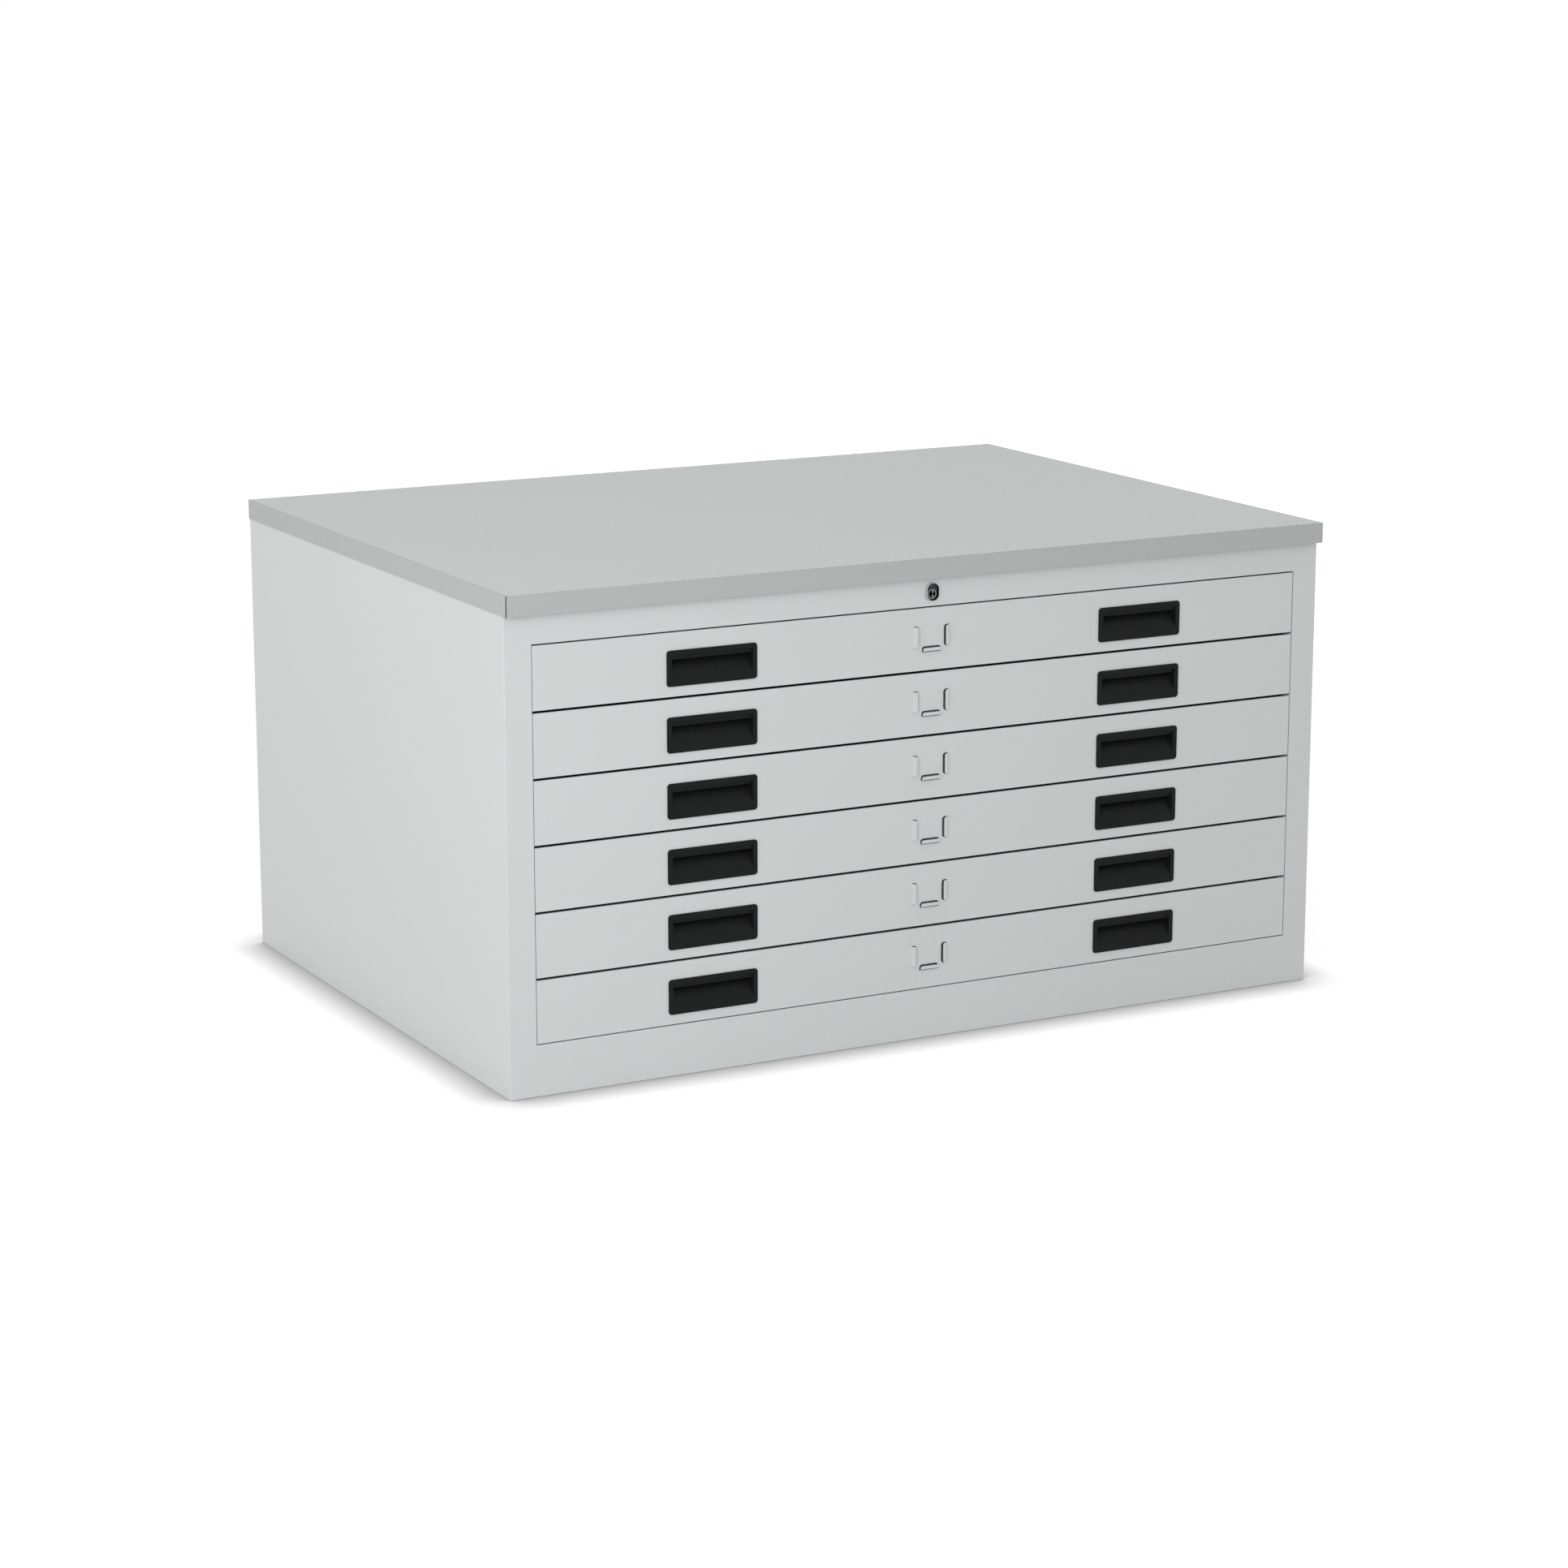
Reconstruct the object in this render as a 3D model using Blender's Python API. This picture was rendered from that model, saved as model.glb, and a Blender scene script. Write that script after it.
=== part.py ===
# Flat file cabinet: a sheet-steel plan chest with six shallow drawers, twelve recessed
# pulls, one lock for all the drawers, and an edge-banded worktop.
# Units are metres and +Z is up. The drawers open towards -Y, and the origin is on the
# floor under the middle of the worktop.

import math

import bmesh
import bpy

# Body and worktop
BODY_WIDTH = 1.100
BODY_DEPTH = 0.790
BODY_HEIGHT = 0.560
WORKTOP_THICKNESS = 0.025
WORKTOP_FRONT_OVERHANG = 0.011
WORKTOP_SIDE_OVERHANG = 0.001
WORKTOP_BACK_OVERHANG = 0.001
EDGE_BAND = 0.002
GLUE_LINE = 0.0001
CORNER_SEAM = 0.0005
STILE_WIDTH = 0.034
TOP_RAIL_HEIGHT = 0.034
PLINTH_HEIGHT = 0.061
DRAWER_COUNT = 6

# Sheet metal and the clearances between its pieces
SHEET = 0.0010
BEND_RADIUS = 0.0004
BEND_STEPS = 3
REST_GAP = 0.0003
WELD_GAP = 0.00005
RUN_GAP = 0.0006
OVERRUN = 0.002
RETURN_DEPTH = 0.018
REAR_FLANGE = 0.015
PAN_FLANGE = 0.015

# Uprights and runner channels in the space behind the stiles
UPRIGHT_WIDTH = 0.040
UPRIGHT_FRONT_SETBACK = 0.004
UPRIGHT_REAR_SETBACK = 0.020
RUNNER_HEIGHT = 0.0113
RUNNER_FRONT_SETBACK = 0.002
RUNNER_SLOT_GAP = 0.0012

# Drawer trays
TRAY_SHEET = 0.0008
TRAY_FLOOR_RISE = 0.006
TRAY_TOP_DROP = 0.0175
TRAY_LIP_CLEARANCE = 0.001
TRAY_LIP_WIDTH = 0.016
TRAY_LIP_FOLD = 0.008

# Drawer fronts
FRONT_SIDE_GAP = 0.001
FRONT_GAP_BELOW = 0.0006
FRONT_GAP_ABOVE = 0.0014
FRONT_THICKNESS = 0.018
FRONT_EDGE_RADIUS = 0.0009
FRONT_EDGE_STEPS = 2

# Pressed lances that hold a label card
LANCE_LENGTH = 0.0245
LANCE_WIDTH = 0.0056
LANCE_RISE = 0.0030
LANCE_SKIN = 0.0008
LANCE_SLIT = 0.0018
LANCE_CORNER = 0.0026
LANCE_CORNER_STEPS = 3
LANCE_EDGE = 0.0006
LANCE_SPACING = 0.043
SIDE_LANCE_HEIGHT = 0.0415
LOWER_LANCE_HEIGHT = 0.0255

# Recessed pulls
PULL_SPACING = 0.580
PULL_WIDTH = 0.116
PULL_HEIGHT = 0.042
PULL_RISE = 0.013
PULL_CORNER = 0.004
PULL_CORNER_STEPS = 3
PULL_PROUD = 0.0015
PULL_EDGE = 0.0006
PULL_SIDE_RIM = 0.006
PULL_TOP_RIM = 0.006
PULL_BOTTOM_RIM = 0.008
PULL_LIP_HEIGHT = 0.0045
PULL_LIP_SETBACK = 0.0026
PULL_LIP_THICKNESS = 0.0016
PULL_DEPTH = 0.011
PULL_BACK_HEIGHT = 0.003
PULL_FLOOR_STEPS = 4
PULL_FLOOR_BEND_Y = 0.0012
PULL_FLOOR_BEND_RISE = 0.0085
PULL_FLOOR_OVERLAP = 0.0003
PULL_WALL = 0.0012
PULL_HOLE_CLEARANCE = 0.0006
PULL_HOLE_RADIUS = 0.002

# Lock in the top rail
LOCK_WIDTH = 0.017
LOCK_HEIGHT = 0.022
LOCK_PROUD = 0.0030
LOCK_RIM = 0.0014
LOCK_EDGE = 0.0005
LOCK_RECESS = 0.0024
LOCK_AXIS_DROP = 0.0025
BARREL_RADIUS = 0.0085
BARREL_LENGTH = 0.026
PLUG_RADIUS = 0.0060
KEYWAY_WIDTH = 0.0014
KEYWAY_HEIGHT = 0.0070
KEYWAY_DEPTH = 0.010
NUT_ACROSS_FLATS = 0.024
NUT_THICKNESS = 0.004
NUT_SETBACK = 0.0005
ROUND_STEPS = 24

# Rod, crank and gang bar behind the drawers
ROD_RADIUS = 0.003
CRANK_RADIUS = 0.011
CRANK_THICKNESS = 0.003
CRANK_THROW = 0.008
PIN_RADIUS = 0.002
PIN_OVERREACH = 0.002
REST_ANGLE = math.radians(45)
BEARING_SETBACK = 0.016
BEARING_WIDTH = 0.030
BEARING_FOOT = 0.015
BEARING_MARGIN = 0.006
BAR_SHEET = 0.0012
BAR_WIDTH = 0.030
BAR_DEPTH = 0.006
BAR_FLOOR_GAP = 0.030
BAR_TOP_MARGIN = 0.006
SLOT_SIDE_GAP = 0.0008
GUIDE_LIP = 0.0035
GUIDE_HEIGHT = 0.020
GUIDE_INSET = 0.010
HOOK_WIDTH = 0.014
HOOK_REACH = 0.009
HOOK_TIP = 0.0125
HOOK_DROP = 0.0015
CATCH_WIDTH = 0.016
CATCH_DROP = 0.002
CATCH_LIP = 0.012
CATCH_BAR_GAP = 0.0035
CATCH_TRAY_GAP = 0.0025

# Finishes: sRGB colour, roughness, metallic
FINISHES = {
    "body_paint": ((207, 209, 208), 0.45, 0.0),
    "worktop_laminate": ((190, 192, 191), 0.50, 0.0),
    "edge_band": ((182, 184, 183), 0.50, 0.0),
    "runner_steel": ((168, 171, 173), 0.38, 1.0),
    "pull_plastic": ((34, 35, 35), 0.42, 0.0),
    "lock_chrome": ((215, 216, 218), 0.15, 1.0),
    "lock_steel": ((160, 162, 165), 0.35, 1.0),
}

# Places worked out from the sizes above
FRONT_Y = WORKTOP_FRONT_OVERHANG - (BODY_DEPTH + WORKTOP_FRONT_OVERHANG + WORKTOP_BACK_OVERHANG) / 2
BACK_Y = FRONT_Y + BODY_DEPTH
HALF_BODY = BODY_WIDTH / 2
HALF_OPENING = HALF_BODY - STILE_WIDTH
HALF_INSIDE = HALF_BODY - SHEET - REST_GAP
DRAWER_PITCH = (BODY_HEIGHT - TOP_RAIL_HEIGHT - PLINTH_HEIGHT) / DRAWER_COUNT
BACK_PANEL_Y = BACK_Y - SHEET - REST_GAP - SHEET
PAN_BACK_Y = BACK_PANEL_Y - REST_GAP
BAR_BACK_Y = PAN_BACK_Y - SHEET - RUN_GAP
BAR_FRONT_Y = BAR_BACK_Y - BAR_DEPTH
TRAY_BACK_Y = BAR_FRONT_Y - HOOK_REACH - CATCH_TRAY_GAP
RUNNER_WEB_X = HALF_OPENING + RUNNER_SLOT_GAP + SHEET
UPRIGHT_WEB_X = RUNNER_WEB_X + REST_GAP
TRAY_LIP_X = HALF_OPENING - TRAY_LIP_CLEARANCE
TRAY_SIDE_X = TRAY_LIP_X - TRAY_LIP_WIDTH
RUNNER_TIP_X = TRAY_SIDE_X + RUNNER_SLOT_GAP
TRAY_TOP = DRAWER_PITCH - TRAY_TOP_DROP
TRAY_FLOOR = TRAY_FLOOR_RISE + TRAY_SHEET
LIP_LOW = TRAY_TOP - TRAY_LIP_FOLD
RUNNER_LOW = LIP_LOW - REST_GAP - SHEET
RUNNER_TOP = RUNNER_LOW + RUNNER_HEIGHT
TRAY_FRONT = FRONT_THICKNESS + REST_GAP
TRAY_BACK = TRAY_BACK_Y - FRONT_Y
CATCH_TOP = TRAY_TOP - CATCH_DROP
CATCH_LOW = CATCH_TOP - CATCH_LIP
CATCH_BACK = BAR_FRONT_Y - CATCH_BAR_GAP - FRONT_Y
HOOK_TIP_TOP = CATCH_LOW - HOOK_DROP
LOCK_CENTRE_Z = BODY_HEIGHT - TOP_RAIL_HEIGHT / 2
LOCK_AXIS_Z = LOCK_CENTRE_Z - LOCK_AXIS_DROP
CRANK_BACK_Y = BAR_FRONT_Y - RUN_GAP
PIN_X = -CRANK_THROW * math.cos(REST_ANGLE)
PIN_Z = LOCK_AXIS_Z - CRANK_THROW * math.sin(REST_ANGLE)


def clear_scene():
    for thing in list(bpy.data.objects):
        bpy.data.objects.remove(thing, do_unlink=True)


def linear(channel):
    value = channel / 255
    if value <= 0.04045:
        return value / 12.92
    return ((value + 0.055) / 1.055) ** 2.4


def make_finishes():
    made = {}
    for name, (colour, roughness, metallic) in FINISHES.items():
        material = bpy.data.materials.new(name)
        material.use_nodes = True
        shader = material.node_tree.nodes["Principled BSDF"]
        shader.inputs["Base Color"].default_value = (*[linear(channel) for channel in colour], 1.0)
        shader.inputs["Roughness"].default_value = roughness
        shader.inputs["Metallic"].default_value = metallic
        made[name] = material
    return made


def new_object(name, mesh):
    thing = bpy.data.objects.new(name, mesh)
    bpy.context.scene.collection.objects.link(thing)
    return thing


def extrude_outline(name, outline, axis, start, end):
    # The outline's two coordinates are the two axes other than the one it is extruded along.
    place = {
        "x": lambda u, v, w: (w, u, v),
        "y": lambda u, v, w: (u, w, v),
        "z": lambda u, v, w: (u, v, w),
    }[axis]
    shape = bmesh.new()
    near = [shape.verts.new(place(u, v, start)) for u, v in outline]
    far = [shape.verts.new(place(u, v, end)) for u, v in outline]
    shape.faces.new(near)
    shape.faces.new(far[::-1])
    count = len(outline)
    for index in range(count):
        after = (index + 1) % count
        shape.faces.new((near[index], far[index], far[after], near[after]))
    bmesh.ops.recalc_face_normals(shape, faces=shape.faces)
    mesh = bpy.data.meshes.new(name)
    shape.to_mesh(mesh)
    shape.free()
    return new_object(name, mesh)


def box(name, low, high):
    outline = rectangle(low[0], high[0], low[1], high[1])
    return extrude_outline(name, outline, "z", low[2], high[2])


def rectangle(low_u, high_u, low_v, high_v):
    return [(low_u, low_v), (high_u, low_v), (high_u, high_v), (low_u, high_v)]


def circle(centre_u, centre_v, radius, steps=ROUND_STEPS):
    turns = [2 * math.pi * step / steps for step in range(steps)]
    return [(centre_u + radius * math.cos(turn), centre_v + radius * math.sin(turn)) for turn in turns]


def rounded_rectangle(low_u, high_u, low_v, high_v, radius, steps):
    corners = [
        (high_u - radius, high_v - radius, 0),
        (low_u + radius, high_v - radius, 1),
        (low_u + radius, low_v + radius, 2),
        (high_u - radius, low_v + radius, 3),
    ]
    points = []
    for centre_u, centre_v, quarter in corners:
        for step in range(steps + 1):
            turn = (quarter + step / steps) * math.pi / 2
            points.append((centre_u + radius * math.cos(turn), centre_v + radius * math.sin(turn)))
    return points


def stadium(centre_u, centre_v, width, height, steps=ROUND_STEPS):
    radius = width / 2
    straight = height / 2 - radius
    half = steps // 2
    points = []
    for side in (1, -1):
        for step in range(half + 1):
            turn = math.pi * step / half
            points.append((
                centre_u + side * radius * math.cos(turn),
                centre_v + side * (straight + radius * math.sin(turn)),
            ))
    return points


def fold_corner(before, corner, after, thickness, radius):
    # One bend of a sheet whose thickness lies to the left of its path. A radius of zero
    # gives a mitred corner.
    heading = math.atan2(corner[1] - before[1], corner[0] - before[0])
    heading_out = math.atan2(after[1] - corner[1], after[0] - corner[0])
    turn = (heading_out - heading + math.pi) % (2 * math.pi) - math.pi
    left_u = -math.sin(heading) - math.sin(heading_out)
    left_v = math.cos(heading) + math.cos(heading_out)
    if radius == 0:
        reach = thickness / (1 + math.cos(turn))
        return [corner], [(corner[0] + reach * left_u, corner[1] + reach * left_v)]
    side = 1 if turn > 0 else -1
    face_radius = radius + thickness if side > 0 else radius
    inner_radius = radius if side > 0 else radius + thickness
    setback = face_radius * math.tan(abs(turn) / 2)
    centre_u = corner[0] - setback * math.cos(heading) - side * face_radius * math.sin(heading)
    centre_v = corner[1] - setback * math.sin(heading) + side * face_radius * math.cos(heading)
    face = []
    inner = []
    for step in range(BEND_STEPS + 1):
        angle = heading + turn * step / BEND_STEPS
        across_u = side * math.sin(angle)
        across_v = -side * math.cos(angle)
        face.append((centre_u + face_radius * across_u, centre_v + face_radius * across_v))
        inner.append((centre_u + inner_radius * across_u, centre_v + inner_radius * across_v))
    return face, inner


def sheet_end(point, toward, thickness, sign):
    length = math.hypot(toward[0] - point[0], toward[1] - point[1])
    along_u = sign * (toward[0] - point[0]) / length
    along_v = sign * (toward[1] - point[1]) / length
    return (point[0] - thickness * along_v, point[1] + thickness * along_u)


def folded_outline(path, thickness, radii):
    # The outline of a folded sheet. The path is the line of its outer face, and the sheet
    # lies to the left of it. There is one bend radius for each inner point of the path.
    face = [path[0]]
    inner = [sheet_end(path[0], path[1], thickness, 1)]
    for before, corner, after, radius in zip(path, path[1:], path[2:], radii):
        bend_face, bend_inner = fold_corner(before, corner, after, thickness, radius)
        face += bend_face
        inner += bend_inner
    face.append(path[-1])
    inner.append(sheet_end(path[-1], path[-2], thickness, -1))
    return face + inner[::-1]


def mirrored(outline):
    return [(-u, v) for u, v in outline]


def bake(thing):
    graph = bpy.context.evaluated_depsgraph_get()
    mesh = bpy.data.meshes.new_from_object(thing.evaluated_get(graph))
    thing.modifiers.clear()
    thing.data = mesh


def combine(thing, operation, tools):
    for tool in tools:
        change = thing.modifiers.new(operation.lower(), "BOOLEAN")
        change.operation = operation
        change.solver = "EXACT"
        change.object = tool
    bake(thing)
    for tool in tools:
        bpy.data.objects.remove(tool, do_unlink=True)


def bevel_where(thing, width, steps, chosen):
    # Rounds the edges whose two ends both satisfy the test.
    shape = bmesh.new()
    shape.from_mesh(thing.data)
    edges = [edge for edge in shape.edges if all(chosen(vert.co) for vert in edge.verts)]
    bmesh.ops.bevel(shape, geom=edges, offset=width, segments=steps, profile=0.5, affect="EDGES")
    shape.to_mesh(thing.data)
    shape.free()


def smooth(thing):
    thing.data.shade_smooth()
    thing.data.set_sharp_from_angle(angle=math.radians(30))


def paint(thing, material):
    thing.data.materials.clear()
    thing.data.materials.append(material)
    smooth(thing)


def make_worktop(finishes):
    half_width = HALF_BODY + WORKTOP_SIDE_OVERHANG
    front = FRONT_Y - WORKTOP_FRONT_OVERHANG
    back = BACK_Y + WORKTOP_BACK_OVERHANG
    low = BODY_HEIGHT + REST_GAP
    top = BODY_HEIGHT + WORKTOP_THICKNESS
    core_inset = EDGE_BAND + GLUE_LINE
    board = box(
        "worktop_board",
        (-half_width + core_inset, front + core_inset, low),
        (half_width - core_inset, back - core_inset, top),
    )
    paint(board, finishes["worktop_laminate"])
    side_start = front + EDGE_BAND + CORNER_SEAM
    side_end = back - EDGE_BAND - CORNER_SEAM
    bands = {
        "worktop_edge_front": (-half_width, half_width, front, front + EDGE_BAND),
        "worktop_edge_back": (-half_width, half_width, back - EDGE_BAND, back),
        "worktop_edge_left": (-half_width, -half_width + EDGE_BAND, side_start, side_end),
        "worktop_edge_right": (half_width - EDGE_BAND, half_width, side_start, side_end),
    }
    for name, (low_x, high_x, low_y, high_y) in bands.items():
        band = box(name, (low_x, low_y, low), (high_x, high_y, top))
        paint(band, finishes["edge_band"])


def make_side_panels(finishes):
    # Seen from above: rear flange, side, stile, and the stile's return into the cabinet.
    path = [
        (-HALF_BODY + REAR_FLANGE, BACK_Y),
        (-HALF_BODY, BACK_Y),
        (-HALF_BODY, FRONT_Y),
        (-HALF_OPENING, FRONT_Y),
        (-HALF_OPENING, FRONT_Y + RETURN_DEPTH),
    ]
    outline = folded_outline(path, SHEET, [BEND_RADIUS, BEND_RADIUS, 0])
    for name, shape in (("left_side_panel", outline), ("right_side_panel", mirrored(outline))):
        panel = extrude_outline(name, shape, "z", 0, BODY_HEIGHT)
        paint(panel, finishes["body_paint"])


def make_rail(name, low, top, finishes):
    path = [
        (FRONT_Y + RETURN_DEPTH, top),
        (FRONT_Y, top),
        (FRONT_Y, low),
        (FRONT_Y + RETURN_DEPTH, low),
    ]
    outline = folded_outline(path, SHEET, [0, 0])
    half_length = HALF_OPENING - WELD_GAP
    rail = extrude_outline(name, outline, "x", -half_length, half_length)
    paint(rail, finishes["body_paint"])
    return rail


def make_rails(finishes):
    make_rail("plinth_rail", 0, PLINTH_HEIGHT, finishes)
    top_rail = make_rail("top_rail", BODY_HEIGHT - TOP_RAIL_HEIGHT, BODY_HEIGHT, finishes)
    hole = circle(0, LOCK_AXIS_Z, BARREL_RADIUS + REST_GAP)
    cutter = extrude_outline("lock_hole", hole, "y", FRONT_Y - OVERRUN, FRONT_Y + SHEET + OVERRUN)
    combine(top_rail, "DIFFERENCE", [cutter])
    paint(top_rail, finishes["body_paint"])


def make_pans(finishes):
    start = FRONT_Y + RETURN_DEPTH + REST_GAP
    radii = [BEND_RADIUS, BEND_RADIUS]
    base_path = [
        (-HALF_INSIDE, PAN_FLANGE),
        (-HALF_INSIDE, 0),
        (HALF_INSIDE, 0),
        (HALF_INSIDE, PAN_FLANGE),
    ]
    base = extrude_outline("base_pan", folded_outline(base_path, SHEET, radii), "y", start, PAN_BACK_Y)
    paint(base, finishes["body_paint"])
    top_path = [
        (HALF_INSIDE, BODY_HEIGHT - PAN_FLANGE),
        (HALF_INSIDE, BODY_HEIGHT),
        (-HALF_INSIDE, BODY_HEIGHT),
        (-HALF_INSIDE, BODY_HEIGHT - PAN_FLANGE),
    ]
    top = extrude_outline("top_pan", folded_outline(top_path, SHEET, radii), "y", start, PAN_BACK_Y)
    paint(top, finishes["body_paint"])


def make_back_panel(finishes):
    low = (-HALF_INSIDE, BACK_PANEL_Y, 0)
    high = (HALF_INSIDE, BACK_PANEL_Y + SHEET, BODY_HEIGHT)
    paint(box("back_panel", low, high), finishes["body_paint"])


def make_uprights(finishes):
    outer = HALF_INSIDE - SHEET - REST_GAP
    low = SHEET + REST_GAP
    top = BODY_HEIGHT - SHEET - REST_GAP
    front_start = FRONT_Y + RETURN_DEPTH + UPRIGHT_FRONT_SETBACK
    rear_start = BACK_PANEL_Y - UPRIGHT_REAR_SETBACK - UPRIGHT_WIDTH
    for end, start in (("front", front_start), ("rear", rear_start)):
        path = [
            (-outer, start),
            (-UPRIGHT_WEB_X, start),
            (-UPRIGHT_WEB_X, start + UPRIGHT_WIDTH),
            (-outer, start + UPRIGHT_WIDTH),
        ]
        outline = folded_outline(path, SHEET, [BEND_RADIUS, BEND_RADIUS])
        for side, shape in (("left", outline), ("right", mirrored(outline))):
            upright = extrude_outline(f"{end}_upright_{side}", shape, "z", low, top)
            paint(upright, finishes["runner_steel"])


def drawer_names():
    # Drawer 1 is the top one.
    return [f"drawer_{index + 1}" for index in range(DRAWER_COUNT)]


def drawer_line(index):
    # The height of the lower line of a drawer's share of the opening.
    return PLINTH_HEIGHT + (DRAWER_COUNT - 1 - index) * DRAWER_PITCH


def make_runners(finishes):
    start = FRONT_Y + RETURN_DEPTH + RUNNER_FRONT_SETBACK
    for index, drawer in enumerate(drawer_names()):
        low = drawer_line(index) + RUNNER_LOW
        top = drawer_line(index) + RUNNER_TOP
        path = [
            (-RUNNER_TIP_X, top),
            (-RUNNER_WEB_X, top),
            (-RUNNER_WEB_X, low),
            (-RUNNER_TIP_X, low),
        ]
        outline = folded_outline(path, SHEET, [BEND_RADIUS, BEND_RADIUS])
        for side, shape in (("left", outline), ("right", mirrored(outline))):
            runner = extrude_outline(f"{drawer}_runner_{side}", shape, "y", start, TRAY_BACK_Y)
            paint(runner, finishes["runner_steel"])


def make_tray_mesh():
    # The tray seen from the front, from the right lip's fold to the left one. Y counts from
    # the face of the drawer's front, and Z from the drawer's lower line.
    wall = TRAY_SIDE_X - TRAY_SHEET
    half = [(TRAY_LIP_X, LIP_LOW), (TRAY_LIP_X, TRAY_TOP), (wall, TRAY_TOP), (wall, TRAY_FLOOR)]
    path = half + mirrored(half)[::-1]
    outline = folded_outline(path, TRAY_SHEET, [BEND_RADIUS] * (len(path) - 2))
    tray = extrude_outline("tray", outline, "y", TRAY_FRONT, TRAY_BACK)
    reach = wall + TRAY_SHEET / 2
    floor = TRAY_FLOOR - TRAY_SHEET / 2
    end_top = TRAY_TOP - TRAY_SHEET - BEND_RADIUS
    front_wall = box(
        "front_wall",
        (-reach, TRAY_FRONT, floor),
        (reach, TRAY_FRONT + TRAY_SHEET, end_top),
    )
    back_wall = box(
        "back_wall",
        (-reach, TRAY_BACK - TRAY_SHEET, floor),
        (reach, TRAY_BACK, end_top),
    )
    catch_path = [
        (CATCH_BACK, CATCH_LOW),
        (CATCH_BACK, CATCH_TOP),
        (TRAY_BACK - TRAY_SHEET / 2, CATCH_TOP),
    ]
    catch_outline = folded_outline(catch_path, TRAY_SHEET, [BEND_RADIUS])
    catch = extrude_outline("catch", catch_outline, "x", -CATCH_WIDTH / 2, CATCH_WIDTH / 2)
    combine(tray, "UNION", [front_wall, back_wall, catch])
    return keep_mesh(tray, "drawer_tray")


def keep_mesh(thing, name):
    mesh = thing.data
    mesh.name = name
    bpy.data.objects.remove(thing, do_unlink=True)
    return mesh


def slit_outline(low, high, half_length, radius):
    # A plate seen from the front, with round corners on the side of its slit.
    quarter = [step * math.pi / 2 / LANCE_CORNER_STEPS for step in range(LANCE_CORNER_STEPS + 1)]
    half = [
        (high - radius + radius * math.cos(turn), half_length - radius + radius * math.sin(turn))
        for turn in quarter
    ]
    half.append((low, half_length))
    return half + [(across, -along) for across, along in half[::-1]]


def make_lance(along_z, centre_x, centre_z, slit):
    # A raised plate with its slit on one long edge, and the gap that is cut under it and
    # through the skin beside it.
    half_width = LANCE_WIDTH / 2
    half_length = LANCE_LENGTH / 2
    plate_outline = slit_outline(-half_width, half_width, half_length, LANCE_CORNER)
    gap_outline = slit_outline(
        -half_width + LANCE_SKIN, half_width + LANCE_SLIT, half_length - LANCE_SKIN, LANCE_CORNER,
    )
    spans = (
        ("lance", plate_outline, -LANCE_RISE, SHEET / 2),
        ("gap", gap_outline, -LANCE_RISE + LANCE_SKIN, SHEET + OVERRUN),
    )
    solids = []
    for name, outline, start, end in spans:
        if along_z:
            points = [(centre_x + slit * across, centre_z + along) for across, along in outline]
        else:
            points = [(centre_x + along, centre_z + slit * across) for across, along in outline]
        solids.append(extrude_outline(name, points, "y", start, end))
    lance, gap = solids
    bevel_where(lance, LANCE_EDGE, 1, lambda point: point.y < -LANCE_RISE / 2)
    return lance, gap


def make_front_mesh():
    half_width = HALF_OPENING - FRONT_SIDE_GAP
    low = FRONT_GAP_BELOW
    top = DRAWER_PITCH - FRONT_GAP_ABOVE
    front = box("front", (-half_width, 0, low), (half_width, FRONT_THICKNESS, top))
    bevel_where(front, FRONT_EDGE_RADIUS, FRONT_EDGE_STEPS, lambda point: point.y < SHEET)
    hollow = box(
        "hollow",
        (-half_width + SHEET, SHEET, low + SHEET),
        (half_width - SHEET, FRONT_THICKNESS + OVERRUN, top - SHEET),
    )
    cutters = [hollow]
    hole_half = PULL_WIDTH / 2 - PULL_SIDE_RIM + PULL_WALL + PULL_HOLE_CLEARANCE
    hole_low = PULL_RISE + PULL_BOTTOM_RIM - PULL_WALL - PULL_HOLE_CLEARANCE
    hole_top = PULL_RISE + PULL_HEIGHT - PULL_TOP_RIM + PULL_WALL + PULL_HOLE_CLEARANCE
    for side in (-1, 1):
        centre = side * PULL_SPACING / 2
        hole = rounded_rectangle(
            centre - hole_half, centre + hole_half, hole_low, hole_top, PULL_HOLE_RADIUS, PULL_CORNER_STEPS,
        )
        cutters.append(extrude_outline("pull_hole", hole, "y", -OVERRUN, SHEET + OVERRUN))
    combine(front, "DIFFERENCE", cutters)
    half_spacing = LANCE_SPACING / 2
    lances = [
        make_lance(True, -half_spacing, SIDE_LANCE_HEIGHT, 1),
        make_lance(True, half_spacing, SIDE_LANCE_HEIGHT, -1),
        make_lance(False, 0, LOWER_LANCE_HEIGHT, 1),
    ]
    combine(front, "UNION", [lance for lance, gap in lances])
    combine(front, "DIFFERENCE", [gap for lance, gap in lances])
    return keep_mesh(front, "drawer_front")


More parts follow.
